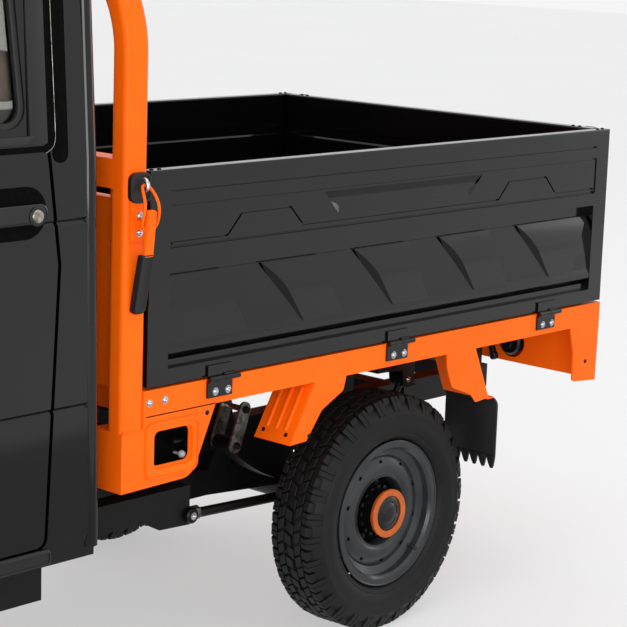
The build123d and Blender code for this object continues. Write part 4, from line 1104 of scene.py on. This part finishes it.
def cap_rivets():
    """Small rivets along the ends of the drop panels' top edges."""
    for side, body in ((1, "side_panel_left"), (-1, "side_panel_right")):
        spots = [((x, side * (rail_y - 15), panel_high.z - 0.3), upward)
                 for x in (panel_high.x - 14, panel_high.x - 34, panel_low.x + 14,
                           panel_low.x + 34)]
        fixings(small_bolt, "cap_rivets_" + body, body, spots)
    spots = [((gate_low.x + 30, y, gate_high.z - 0.3), upward) for y in (470, 450, -450, -470)]
    fixings(small_bolt, "cap_rivets_tailgate", "tailgate", spots)


fit(bed_mat(), "truck")
fit(board_ribs(), "truck")
cap_rivets()


# ---- cab: seals, handles, wipers, lamps and grille ----
door_low, door_high = corners("door_left")
nose_high = corners("cab_front")[1]
back_low, back_high = corners("cab_rear")
roof_low, roof_high = corners("cab_roof")
head_low, head_high = corners("headlamps")
bumper_low, bumper_high = corners("front_bumper")
head_inner = 232
head_y, head_z = (head_high.y + head_inner) / 2, (head_low.z + head_high.z) / 2
fog_centre = (bumper_high.x - 3, 330, (bumper_low.z + bumper_high.z) / 2 - 8)
lock_x, lock_z = door_low.x + 60, door_high.z - 494
channel_foot, gap_foot, frame_foot = door_high.z - 402, door_high.z - 374, door_high.z - 366
strip_head = door_high.z - 34
cab_y = roof_high.y + 26


def window_seal(name, node, outward, wide, proud):
    """Rubber surround on a pane: the pane's outer face, hollowed, thickened and spread outwards."""
    outward = Vector(outward)
    seal = copied(nodes[node], name)
    settle(seal, name, rubber)
    bpy.ops.object.mode_set(mode="EDIT")
    bpy.ops.mesh.select_all(action="SELECT")
    bpy.ops.mesh.remove_doubles(threshold=0.01 * mm)
    pick(seal, lambda at, way: way.dot(outward) < 0.75)
    bpy.ops.mesh.delete(type="FACE")
    bpy.ops.mesh.select_all(action="SELECT")
    bpy.ops.mesh.dissolve_limited(angle_limit=radians(2))
    bpy.ops.mesh.select_all(action="SELECT")
    bpy.ops.mesh.inset(thickness=11 * mm)
    bpy.ops.mesh.delete(type="FACE")
    bpy.ops.object.mode_set(mode="OBJECT")
    middle = sum((corner.co for corner in seal.data.vertices),
                 Vector()) / len(seal.data.vertices) / mm
    wall = seal.modifiers.new("wall", "SOLIDIFY")
    wall.thickness = proud * mm
    wall.offset = 1
    bpy.ops.object.modifier_apply(modifier="wall")
    pick(seal, lambda at, way: abs(way.dot(outward)) < 0.4 and (at - middle).dot(way) > 0)
    bpy.ops.transform.shrink_fatten(value=wide * mm)
    return soften(seal, 2.2, 2, 45)


def door_pocket():
    """Oval pocket behind the pull: a flat near-black plate of painted shade that stands in for the
    recess and the shade in it.
    """
    x, z = door_low.x + 30, door_high.z - 489
    return plate("door_pocket", shade_black, (x, cab_y - 1.5, z - 48), (x + 186, cab_y + 1.6, z + 49),
                 "y", 47, 0.6)


def door_pull():
    """Pull bar across the pocket, hollowed underneath."""
    x, z = door_low.x + 34, door_high.z - 489
    pull_bar = plate("door_pull", abs_black, (x, cab_y - 1, z - 20), (x + 178, cab_y + 9, z + 17),
                     "y", 16, 1)
    dish(pull_bar, leftward, 5, 2.5)
    return soften(pull_bar, 1.6, 3)


def door_lock():
    """Round silver lock in a black ring."""
    return turned("door_lock", link_steel, [(0, 0), (13, 0), (13, 2.2), (11.5, 4.2), (7, 5.4),
                                            (0, 5.9)], (lock_x, cab_y + 12, lock_z), leftward, 32)


def lock_ring():
    """Black ring round the lock."""
    return turned("lock_ring", rubber, [(12, 0), (19, 0), (18.5, 4), (16, 5.4), (13.5, 4.8),
                                        (12, 3), (12, 0)], (lock_x, cab_y + 9.5, lock_z), leftward,
                  32)


def mirror_face():
    """Silvered glass set in the back of the mirror head."""
    low, high = corners("mirror_left")
    face = plate("mirror_face", silver, (low.x - 1.4, high.y - 112, high.z - 162),
                 (low.x + 3, high.y - 8, high.z - 8), "x", 12, 0.5)
    dish(face, backward, 3, -0.8)
    return soften(face, 0.3)


def lamp_bowl():
    """Reflector bowl of a head lamp with its bulb shield."""
    outline = [(0, 0), (20, 1), (44, 8), (62, 20), (73, 36), (77, 46), (78, 46), (78, 40), (64, 14),
               (40, 2), (0, -4)]
    bowl = turned("lamp_bowl", reflector, outline, (head_high.x - 52, head_y, head_z), forward, 64)
    shield = turned("shield", reflector, [(0, 30), (12, 30), (14, 26), (14, 6), (12, 4), (0, 4)],
                    (head_high.x - 52, head_y, head_z), forward, 32)
    return joined([bowl, shield], "lamp_bowl")


def lamp_glass():
    """Domed outer lens of a head lamp."""
    outline = [(0, 15), (30, 13), (58, 7), (76, -2), (77, -5), (75, -5), (57, 3), (29, 9), (0, 11)]
    return turned("lamp_glass", lens, outline, (head_high.x - 4, head_y, head_z), forward, 64)


def lamp_bezel():
    """Bright trim ring round a head lamp."""
    outline = [(75, -8), (90, -8), (91, -2), (88, 5), (82, 8), (77, 5), (75, 0), (75, -8)]
    return turned("lamp_bezel", reflector, outline, (head_high.x - 2, head_y, head_z), forward, 64)


def turn_lamp():
    """Amber turn lamp outboard of the head lamp."""
    y, z = head_high.y + 38, head_z
    lamp = plate("turn_lamp", amber, (head_high.x - 24, y, z - 40),
                 (head_high.x - 2, y + 58, z + 40), "x", 14, 1)
    dish(lamp, forward, 6, 4)
    return soften(lamp, 1.5)


def fog_lamp():
    """Small round fog lamp in the bumper."""
    return turned("fog_lamp", lens, [(0, -4), (34, -4), (34, 3), (30, 6), (16, 8), (0, 9), (0, -4)],
                  fog_centre, forward, 48)


def fog_ring():
    """Black surround of the fog lamp."""
    return turned("fog_ring", abs_black, [(33, -4), (47, -4), (46, 2), (41, 7), (36, 6), (33, 3),
                                          (33, -4)], fog_centre, forward, 48)


def nose_grille():
    """Black grille panel between the head lamps with five bars."""
    x, z = nose_high.x, head_z
    panel = plate("nose_grille", abs_black, (x - 4, -196, z - 58), (x + 5, 196, z + 58), "x", 26, 1)
    dish(panel, forward, 9, -4)
    parts = [soften(panel, 1)]
    for step in range(5):
        slat = block("slat", abs_black, (x - 2, -180, z - 44 + 20 * step),
                     (x + 6, 180, z - 36 + 20 * step))
        pick(slat, lambda at, way: way.x > 0.9)
        shift(0, 0, 2)
        parts.append(soften(slat, 1.4))
    return joined(parts, "nose_grille")


def front_plate():
    """Bare front plate holder on the bumper."""
    x, z = bumper_high.x, (bumper_low.z + bumper_high.z) / 2
    holder = plate("front_plate", abs_black, (x - 3, -165, z - 50), (x + 6, 165, z + 50), "x", 9, 1)
    dish(holder, forward, 6, -2.5)
    return soften(holder, 0.8)


pane_low, pane_high = corners("fixed_windows")
screen_run, screen_rise = roof_high.x + 5 - pane_high.x, pane_high.z - pane_low.z


def on_screen(y, z):
    """Point on the windscreen's outer face at a height."""
    return Vector((pane_high.x + screen_run * (z - pane_low.z) / screen_rise, y, z))


def wiper(y):
    """Wiper: a tapered arm from its spindle, and a rubber blade with its spine."""
    stand = Vector((16, 0, 0))
    foot, tip = on_screen(y, pane_low.z - 12) + stand, on_screen(y + 150, pane_low.z + 190) + stand
    boss = turned("boss", abs_black, [(0, -14), (17, -14), (17, 4), (12, 11), (0, 12)], foot,
                  (1, 0, 0.5), 24)
    arm = soften(bar("arm", abs_black, foot + Vector((4, 0, 2)), tip, 5.5, 8), 1.5)
    low, high = on_screen(y + 24, pane_low.z + 60), on_screen(y + 245, pane_low.z + 300)
    spine = soften(bar("spine", abs_black, low + Vector((12, 0, 0)), high + Vector((12, 0, 0)), 4.5,
                       6), 1)
    blade = soften(bar("blade", rubber, low + Vector((5, 0, 0)), high + Vector((5, 0, 0)), 4, 4),
                   0.8)
    return joined([boss, arm, spine, blade], "wiper")


def roof_ribs():
    """Three shallow pressed beads along the roof."""
    beads = [bead("bead", enamel, (roof_low.x + 150, y, roof_high.z - 5),
                  (roof_high.x - 330, y, roof_high.z - 5), 9) for y in (-260, 0, 260)]
    return joined(beads, "roof_ribs")


def rain_gutter():
    """Rubber-lipped gutter along the roof's edge over a door."""
    z = roof_low.z - 6
    gutter = plate("rain_gutter", rubber, (door_low.x + 60, roof_high.y - 2, z),
                   (door_high.x - 70, roof_high.y + 14, z + 9), "y", 4, 0.6)
    dish(gutter, upward, 2.5, -4)
    return soften(gutter, 0.8)


belt, lean_in, lean_rise = 1150, 26, 410


def lean_at(height):
    """How far the cab's side has leaned inwards at a height above the belt line."""
    return lean_in * (height - belt) / lean_rise


def leaned(strip, foot, head):
    """Lean the top of a side strip inwards with the cab's side."""
    pick(strip, lambda at: at.z > (foot + head) / 2, "VERT")
    shift(0, -lean_at(head), 0)
    return strip


def pillar_channel():
    """Pressed channel behind the door's rear edge, round at its foot: a flat near-black strip of
    painted shade that stands in for the channel's shade.
    """
    channel = plate("pillar_channel", shade_black, (door_low.x - 21, cab_y - 3, channel_foot),
                    (door_low.x + 14, cab_y + 1.2, strip_head), "y", 16, 0.4)
    return leaned(channel, channel_foot, strip_head)


def door_gap():
    """Gap round the window frame's rear edge and under its sill: near-black strips of painted shade
    where the gap's shade falls.
    """
    low, high = gap_foot, strip_head
    upright = plate("door_gap", shade_black, (door_low.x + 12, cab_y - 3, low),
                    (door_low.x + 30, cab_y + 1.8, high), "y", 6, 0.3)
    sill = plate("sill", shade_black, (door_low.x + 20, cab_y - 3, low - 6),
                 (door_high.x - 240, cab_y + 1.6, low + 5), "y", 4, 0.3)
    return joined([leaned(upright, low, high), sill], "door_gap")


def window_frame():
    """Rubber-faced band of the door's window frame, behind and below the pane."""
    low, high = frame_foot, strip_head
    upright = plate("window_frame", rubber, (door_low.x + 29, cab_y - 4, low),
                    (door_low.x + 70, cab_y + 2.6, high), "y", 5, 1)
    sill = plate("sill", rubber, (door_low.x + 60, cab_y - 6, low),
                 (door_high.x - 250, cab_y + 1.8, low + 17), "y", 4, 1)
    return joined([leaned(upright, low, high), sill], "window_frame")


def gap_edge_highlight():
    """Thin pale metal wire between the gap and the channel, curled forward at its foot: a painted
    highlight that stands in for the light on the channel's rolled edge.
    """
    x, low, high = door_low.x + 13, channel_foot, door_high.z - 40
    lean = lean_at(high)
    points = [(x, cab_y + 1.6 - lean, high), (x - 1, cab_y + 2, low + 70),
              (x - 2, cab_y + 2.4, low + 40), (x + 6, cab_y + 2.4, low + 26),
              (x + 20, cab_y + 2.4, low + 20)]
    return wire("gap_edge_highlight", link_steel, points, 0.6)


def rear_flange():
    """Rolled gloss flange down the cab's rear corner."""
    x, low, high = back_low.x, back_low.z + 22, back_high.z - 8
    points = [(x + 16, cab_y - 10, low), (x + 32, cab_y - 10, channel_foot),
              (x + 34, cab_y - 35, high)]
    return wire("rear_flange", enamel, points, 16, kind="POLY")


def sill_strip():
    """Rubber sill strip under the door."""
    strip = plate("sill_strip", rubber, (door_low.x + 10, cab_y - 8, back_low.z + 6),
                  (door_high.x - 330, cab_y - 1, back_low.z + 38), "y", 9, 1)
    dish(strip, leftward, 6, 2)
    return soften(strip, 1)


for name, node, outward, body in (("door_seal_left", "door_glass_left", leftward, "door_left"),
                                  ("door_seal_right", "door_glass_right", rightward, "door_right"),
                                  ("quarter_seal_left", "fixed_windows", leftward, "truck"),
                                  ("quarter_seal_right", "fixed_windows", rightward, "truck"),
                                  ("screen_seal", "fixed_windows", (0.87, 0, 0.49), "truck"),
                                  ("rear_seal", "fixed_windows", backward, "truck")):
    fit(window_seal(name, node, outward, 12, 12), body)

for build, slot, body in (
        (door_pocket, "black_plastic", "door"), (door_pull, "black_plastic", "door"),
        (door_lock, "cast_grey", "door"), (lock_ring, "black_rubber", "door"),
        (mirror_face, "glass", "door"), (lamp_bowl, "lamp_clear", "truck"),
        (lamp_glass, "lamp_clear", "truck"), (lamp_bezel, "cast_grey", "truck"),
        (turn_lamp, "lamp_clear", "truck"), (fog_lamp, "lamp_clear", "truck"),
        (fog_ring, "black_plastic", "truck"), (rain_gutter, "black_rubber", "truck"),
        (pillar_channel, "cab_black", "truck"), (door_gap, "black_rubber", "door"),
        (window_frame, "black_rubber", "door"), (gap_edge_highlight, "cast_grey", "truck"),
        (rear_flange, "cab_black", "truck"), (sill_strip, "black_rubber", "door")):
    bodies = ("door_left", "door_right") if body == "door" else ("truck", "truck")
    pair(build(), slot, *bodies)
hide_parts("headlamps")
for build, slot in ((nose_grille, "black_plastic"), (front_plate, "black_plastic"),
                    (roof_ribs, "cab_black")):
    fit(build(), "truck")
for y, name in ((-60, "wiper_left"), (-380, "wiper_right")):
    piece = wiper(y)
    piece.name = name
    fit(piece, "truck")


# ---- inside the cab ----
cushion_low, cushion_high = corners("seat_cushions")
rest_low, rest_high = corners("seat_backs")
wheel_low, wheel_high = corners("steering_wheel")
dash_low, dash_high = corners("dashboard")
floor_pan_low = corners("cab_floor")[0]


voxel, pressure, last_frame = 6, 4.0, 20


def stuffed(piece, cap, press):
    """Swell a remeshed pad by pressure, hold each point to a cap, press its channels, smooth it."""
    alone(piece)
    skin = piece.modifiers.new("skin", "REMESH")
    skin.mode = "VOXEL"
    skin.voxel_size = voxel * mm
    bpy.ops.object.modifier_apply(modifier="skin")
    rest = [corner.co.copy() for corner in piece.data.vertices]
    pad = piece.modifiers.new("pad", "CLOTH")
    pad.settings.use_pressure = True
    pad.settings.uniform_pressure_force = pressure
    pad.settings.effector_weights.gravity = 0.0
    pad.settings.quality = 5
    pad.point_cache.frame_start, pad.point_cache.frame_end = 1, last_frame
    for step in range(1, last_frame + 1):
        bpy.context.scene.frame_set(step)
    bpy.ops.object.modifier_apply(modifier="pad")
    bpy.context.scene.frame_set(1)
    for corner, start in zip(piece.data.vertices, rest):
        grown = corner.co - start
        if grown.length > cap * mm:
            corner.co = start + grown * (cap * mm / grown.length)
    for corner in piece.data.vertices:
        corner.co += press(corner.co / mm, corner.normal) * mm
    calm = piece.modifiers.new("calm", "SMOOTH")
    calm.iterations = 2
    bpy.ops.object.modifier_apply(modifier="calm")
    fine = piece.modifiers.new("fine", "SUBSURF")
    fine.levels = 1
    fine.render_levels = 1
    bpy.ops.object.modifier_apply(modifier="fine")
    bpy.ops.object.shade_smooth()
    return piece


def channel(distance, depth, width):
    """Depth of a sewn channel at a distance from its line."""
    return depth * max(0.0, 1 - (distance / width) ** 2) ** 2


seat_gap, seat_edge = 22.0, cushion_high.y
seat_middle = (seat_gap + seat_edge) / 2
hood_y, hood_z = (wheel_low.y + wheel_high.y) / 2, dash_high.z - 8


def seat_cushion():
    """Bucket cushion: crowned, with sewn lines round its middle panel and three channels in it."""
    low = Vector((cushion_low.x + 14, seat_gap + 14, cushion_low.z + 3))
    high = Vector((cushion_high.x - 14, seat_edge - 14, cushion_high.z - 16))
    cushion = plate("seat_cushion", vinyl, low, high, "z", 46, 12)
    panel, rib, roll = 118, 47, cushion_high.x - 96

    def press(at, way):
        if way.z < 0.3:
            return Vector()
        across = at.y - seat_middle
        line = min(abs(abs(across) - panel), abs(at.x - roll))
        inner = abs(across) < panel and at.x < roll
        ribs = min(abs(across - rib), abs(across), abs(across + rib)) if inner else 99
        return Vector((0, 0, -channel(line, 9, 12) - channel(ribs, 4, 12)))
    return stuffed(cushion, 13, press)


def seat_back():
    """Reclined back: crowned, with side bolsters and five sewn cross channels."""
    low, high = rest_low, rest_high
    rest = block("seat_back", vinyl, (low.x + 42, seat_gap + 16, low.z + 14),
                 (high.x - 14, seat_edge - 16, high.z - 16))
    pick(rest, lambda at, way: way.z > 0.9)
    shift(-40, 0, 0)
    bpy.ops.transform.resize(value=(0.72, 0.86, 1))
    soften(rest, 26, 5)
    height = high.z - low.z

    def press(at, way):
        if way.x < 0.3:
            return Vector()
        up = (at.z - low.z) / height
        line = abs(abs(at.y - seat_middle) - 120)
        inner = abs(at.y - seat_middle) < 118 and 0.08 < up < 0.9
        rows = min(abs(at.z - low.z - height * part)
                   for part in (0.2, 0.36, 0.52, 0.68, 0.84)) if inner else 99
        return Vector((-channel(line, 8, 12) - channel(rows, 5, 14), 0, 0))
    return stuffed(rest, 13, press)


def head_rest():
    """Broad head rest over the seat back, crowned, with one sewn channel."""
    rest = block("head_rest", vinyl, (rest_low.x + 12, seat_gap + 44, rest_high.z + 16),
                 (rest_low.x + 64, seat_edge - 24, rest_high.z + 112))
    pick(rest, lambda at, way: way.z > 0.9)
    shift(-8, 0, 0)
    bpy.ops.transform.resize(value=(0.8, 0.92, 1))
    soften(rest, 18, 4)
    centre = rest_high.z + 64

    def press(at, way):
        return Vector((-channel(abs(at.z - centre), 4, 12), 0, 0)) if way.x > 0.3 else Vector()
    return stuffed(rest, 8, press)


def rest_posts():
    """Two steel posts that carry the head rest."""
    posts = [soften(bar("post", zinc, (rest_low.x + 36, seat_middle + y, rest_high.z - 20),
                        (rest_low.x + 36, seat_middle + y, rest_high.z + 34), 6), 1)
             for y in (-90, 90)]
    return joined(posts, "rest_posts")


def cushion_piping():
    """Piping round the cushion's upper edge."""
    x0, x1, y0, y1 = cushion_low.x + 26, cushion_high.x - 26, seat_gap + 26, seat_edge - 26
    z = cushion_high.z - 22
    points = [(x0, y0 + 40, z), (x0, y1 - 40, z), (x0 + 8, y1 - 8, z), (x0 + 40, y1, z),
              (x1 - 40, y1, z), (x1 - 8, y1 - 8, z), (x1, y1 - 40, z), (x1, y0 + 40, z),
              (x1 - 8, y0 + 8, z), (x1 - 40, y0, z), (x0 + 40, y0, z), (x0 + 8, y0 + 8, z)]
    return wire("cushion_piping", vinyl, points, 3.5, True)


def steering_pad():
    """Round hub pad with a stepped rim."""
    middle = (wheel_low + wheel_high) / 2
    outline = [(0, 4), (46, 4), (52, 8), (53, 14), (49, 21), (36, 25), (34, 23.5), (20, 25),
               (0, 27), (0, 4)]
    return turned("steering_pad", plastic, outline, (middle.x, middle.y, middle.z + 0.5),
                  (-0.8, 0, 0.6), 48)


def instrument_hood():
    """Hooded instrument housing on the dashboard."""
    y, z = hood_y, hood_z
    hood = block("instrument_hood", plastic, (dash_low.x + 150, y - 118, z - 20),
                 (dash_low.x + 250, y + 118, z + 74))
    pick(hood, lambda at, way: way.z > 0.9)
    bpy.ops.transform.resize(value=(0.8, 0.84, 1))
    shift(-8, 0, 0)
    dish(hood, backward, 9, -14)
    return soften(hood, 7, 4)


def instrument_screen():
    """Cover glass of the instruments, inside the hood."""
    y, z = hood_y, hood_z
    return plate("instrument_screen", screen, (dash_low.x + 154, y - 92, z + 2),
                 (dash_low.x + 168, y + 92, z + 58), "x", 8, 1)


def air_vent(y):
    """Air vent with a frame and four slats."""
    x, z = dash_low.x + 146, dash_high.z - 84
    vent = plate("air_vent", abs_black, (x, y - 46, z - 26), (x + 14, y + 46, z + 26), "x", 10, 1)
    dish(vent, backward, 5, -7)
    parts = [soften(vent, 1)]
    for step in range(4):
        slat = block("slat", plastic, (x + 0.5, y - 41, z - 17 + 10 * step),
                     (x + 8, y + 41, z - 14.5 + 10 * step))
        pick(slat, lambda at, way: way.x < -0.9)
        shift(0, 0, -2)
        parts.append(soften(slat, 0.6))
    return joined(parts, "air_vent")


def glove_lid():
    """Glove box lid with its latch."""
    x, z = dash_low.x + 150, dash_high.z - 110
    lid = plate("glove_lid", plastic, (x - 3, -430, z - 70), (x + 10, -130, z + 44), "x", 14, 1.5)
    dish(lid, backward, 12, -3)
    knob = plate("knob", abs_black, (x - 8, -298, z + 14), (x + 4, -262, z + 28), "x", 5, 1)
    return joined([soften(lid, 1), knob], "glove_lid")


def pedal(y, wide):
    """Foot pedal: a ribbed rubber pad on a bent arm."""
    x, z = dash_low.x + 168, floor_pan_low.z + 150
    pad = plate("pedal", rubber, (x - 8, y - wide, z - 38), (x, y + wide, z + 38), "x", 9, 1)
    parts = [pad]
    for step in range(5):
        parts.append(soften(block("rib", rubber, (x - 11, y - wide + 7, z - 27 + 13 * step),
                                  (x - 6, y + wide - 7, z - 22 + 13 * step)), 0.8))
    arm = wire("arm", chassis_black, [(x, y, z), (x + 60, y, z + 20), (x + 96, y, z + 120),
                                      (x + 110, y, z + 260)], 7)
    return joined(parts + [arm], "pedal")


for build, node in ((seat_cushion, "seat_cushions"), (seat_back, "seat_backs")):
    for piece in pair(build(), "seat_cover"):
        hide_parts(node)
for piece in pair(head_rest(), "seat_cover"):
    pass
pair(rest_posts(), "cast_grey")
pair(cushion_piping(), "seat_cover")
fit(steering_pad(), "steering_wheel")
fit(instrument_hood(), "truck")
fit(instrument_screen(), "truck")
pair(air_vent(455), "black_plastic")
fit(glove_lid(), "truck")
for y, wide, name in ((205, 24, "throttle_pedal"), (300, 34, "brake_pedal")):
    piece = pedal(y, wide)
    piece.name = name
    fit(piece, "truck")


# ---- chassis ----
spring_high = corners("rear_springs")[1]
link_high = corners("spring_shackles")[1]
rod_high = corners("locating_rods")[1]
shock_high = corners("rear_shocks")[1]
rim_radius = 169.5
axle_x, axle_z = corners("wheel_rear_left")[0].x + rim_radius, corners("tyre_rear_left")[1].z / 2
spring_y = spring_high.y - 25
leaf_reach = 29
damper_foot = Vector((axle_x - 62, 0, axle_z + 19))
damper_top = Vector((axle_x - 220, 0, shock_high.z - 15))


def axle_clamp():
    """Clamp plate on the leaf pack with two U-bolts round the axle tube."""
    top = axle_z + 66
    clamp = soften(block("clamp", chassis_black, (axle_x - 50, spring_y - 36, top),
                         (axle_x + 50, spring_y + 36, top + 9)), 2)
    parts = [clamp]
    for x in (axle_x - 30, axle_x + 30):
        points = [(x, spring_y - leaf_reach, top + 16), (x, spring_y - leaf_reach, axle_z - 34),
                  (x, spring_y - 16, axle_z - 44), (x, spring_y + 16, axle_z - 44),
                  (x, spring_y + leaf_reach, axle_z - 34), (x, spring_y + leaf_reach, top + 16)]
        parts.append(wire("bolt", oxide, points, 5.5))
        for y in (spring_y - leaf_reach, spring_y + leaf_reach):
            parts.append(copied(dark_nut, "nut", placed((x, y, top + 9)) @ Matrix.Scale(0.9, 4)))
    return joined(parts, "axle_clamp")


def spring_clip():
    """Rebound clip round the leaves."""
    x, z = axle_x + 90, axle_z + 44
    points = [(x, spring_y - leaf_reach, z + 18), (x, spring_y - leaf_reach, z - 2),
              (x, spring_y + leaf_reach, z - 2), (x, spring_y + leaf_reach, z + 18)]
    return wire("spring_clip", oxide, points, 3.5)


def shock_boot():
    """Pleated rubber boot over the damper's rod."""
    run = damper_top - damper_foot
    start = damper_foot + run * 0.5
    pleat, outline = 9, [(10, 0)]
    for foot in range(0, 11 * pleat, pleat):
        outline += [(19, 3 + foot), (22, 6 + foot), (22, 8 + foot), (18, 11 + foot)]
    outline += [(10, 106), (10, 0)]
    return turned("shock_boot", rubber, outline, (start.x, shock_high.y - 17, start.z), run, 24)


def chassis_bolts():
    """Nuts on the locating rods and the dampers."""
    places = []
    for side in (1, -1):
        places += [((rod_high.x - 15, side * rod_high.y, rod_high.z - 15), (0, side, 0)),
                   ((damper_top.x, side * rod_high.y, damper_top.z), (0, side, 0)),
                   ((damper_foot.x, side * (rod_high.y + 4), damper_foot.z), (0, side, 0))]
    return fixings(frame_bolt, "chassis_bolts", "truck", places)


def pin_nuts():
    """Dark nuts on the shackle pins."""
    places = [((axle_x + along, side * (link_high.y - 5), axle_z + up), (0, side, 0))
              for side in (1, -1) for along, up in ((322, 178), (295, 256))]
    return fixings(pin_nut, "pin_nuts", "truck", places)


def splash_guard():
    """Black splash guard inside the leaf spring, with a stiffened lower edge."""
    guard = block("splash_guard", chassis_black, (axle_x + 24, spring_y - 74, axle_z + 44),
                  (axle_x + 366, spring_y - 69, axle_z + 196))
    pick(guard, lambda at: at.x < axle_x + 30 and at.z < axle_z + 50, "VERT")
    shift(0, 0, -26)
    dish(guard, leftward, 12, -2.5)
    return soften(guard, 1.2)


def rod_fork():
    """Forged fork and bright bolt at a locating rod's front end."""
    x, z = rod_high.x - 12, rod_high.z - 14
    fork = soften(bar("fork", link_steel, (x - 12, rod_high.y - 16, z),
                      (x - 46, rod_high.y - 17, z - 2), 16.5, 8), 2)
    eye = turned("eye", oxide, [(0, 0), (17, 0), (17, 9), (14, 12), (0, 12), (0, 0)],
                 (x + 6, 378, z + 8), leftward, 28)
    bolt = copied(zinc_bolt, "bolt", placed((x + 6, 390, z + 8), leftward))
    return joined([fork, eye, bolt], "rod_fork")


def post_welds():
    """Weld bead where a hoop post meets its corner box."""
    x0, x1, z = hoop_low.x + 2, hoop_high.x - 2, hoop_low.z + 2
    points = [(x0, rail_y - 0.6, z), ((x0 + x1) / 2, rail_y - 0.4, z + 0.8), (x1, rail_y - 0.6, z)]
    return wire("post_welds", orange, points, 2.2)


pair(axle_clamp(), "black_paint")
pair(spring_clip(), "black_paint")
pair(shock_boot(), "black_rubber")
chassis_bolts()
pin_nuts()
pair(splash_guard(), "black_paint")
pair(rod_fork(), "cast_grey")
pair(post_welds(), "orange_paint")
for pattern in patterns:
    bpy.data.objects.remove(pattern)


# ---- stage ----
def studio():
    """Pale glowing floor, bright surround, one soft light overhead and three from the sides, and
    a grey card that only reflections see."""
    deselect()
    bpy.ops.mesh.primitive_plane_add(size=60)
    floor = bpy.context.object
    floor.name = "studio_floor"
    material, tree, shader, place = new_finish("backlit_opal_acrylic", "#b0b0b0", 0.9,
                                               Specular_IOR_Level=0.1,
                                               Emission_Color=linear("#ffffff"),
                                               Emission_Strength=0.44)
    drift(tree, shader, place, 2000.0, "#afafaf", "#b1b1b1")
    floor.data.materials.append(material)
    world = bpy.data.worlds.new("surround")
    bpy.context.scene.world = world
    world.use_nodes = True
    world.node_tree.nodes["Background"].inputs["Color"].default_value = linear("#fbfbfc")
    world.node_tree.nodes["Background"].inputs["Strength"].default_value = 0.95
    aim = Vector((-0.4, 0.3, 0.5))
    for name, place, size, power in (("key", (4.8, 5.6, 1.9), 3.5, 200),
                                     ("overhead", (-0.5, 1.5, 7.0), 6.0, 90),
                                     ("front", (7.0, 1.5, 2.2), 3.0, 60),
                                     ("tail", (-7.0, 2.5, 2.0), 3.0, 35)):
        bpy.ops.object.light_add(type="AREA", location=place)
        lamp = bpy.context.object
        lamp.name = name + "_softbox"
        lamp.data.size = size
        lamp.data.energy = power
        lamp.rotation_euler = (aim - lamp.location).to_track_quat("-Z", "Y").to_euler()
    bpy.ops.mesh.primitive_plane_add(size=1, location=(-1.0, 1.5, 0.02))
    flag = bpy.context.object
    flag.scale = (7.0, 1.7, 1)
    flag.name = "grey_flag"
    card, tree, shader, place = new_finish("grey_card", "#b4b4b4", 0.95, Specular_IOR_Level=0.05)
    drift(tree, shader, place, 900.0, "#b2b2b2", "#b6b6b6")
    flag.data.materials.append(card)
    flag.visible_camera = flag.visible_diffuse = False
    flag.visible_shadow = flag.visible_transmission = False
    bpy.context.scene.view_settings.view_transform = "Standard"


def camera():
    """Long lens level with the roof, ahead and to the left, aimed at the rear wheel and bed."""
    stand = (2.7216, 3.4033, 1.6065)
    yaw, pitch, roll = radians(-137.79), radians(-10.97), radians(1.97)
    ahead = Vector((cos(pitch) * cos(yaw), cos(pitch) * sin(yaw), sin(pitch)))
    right = ahead.cross(Vector(upward)).normalized()
    up = right.cross(ahead)
    turned_right = right * cos(roll) + up * sin(roll)
    turned_up = up * cos(roll) - right * sin(roll)
    bpy.ops.object.camera_add()
    eye = bpy.context.object
    eye.matrix_world = Matrix.Translation(stand) @ Matrix(
        (turned_right, turned_up, -ahead)).transposed().to_4x4()
    eye.data.lens = 117.6
    eye.data.sensor_width = 36.0
    bpy.context.scene.camera = eye


studio()
camera()
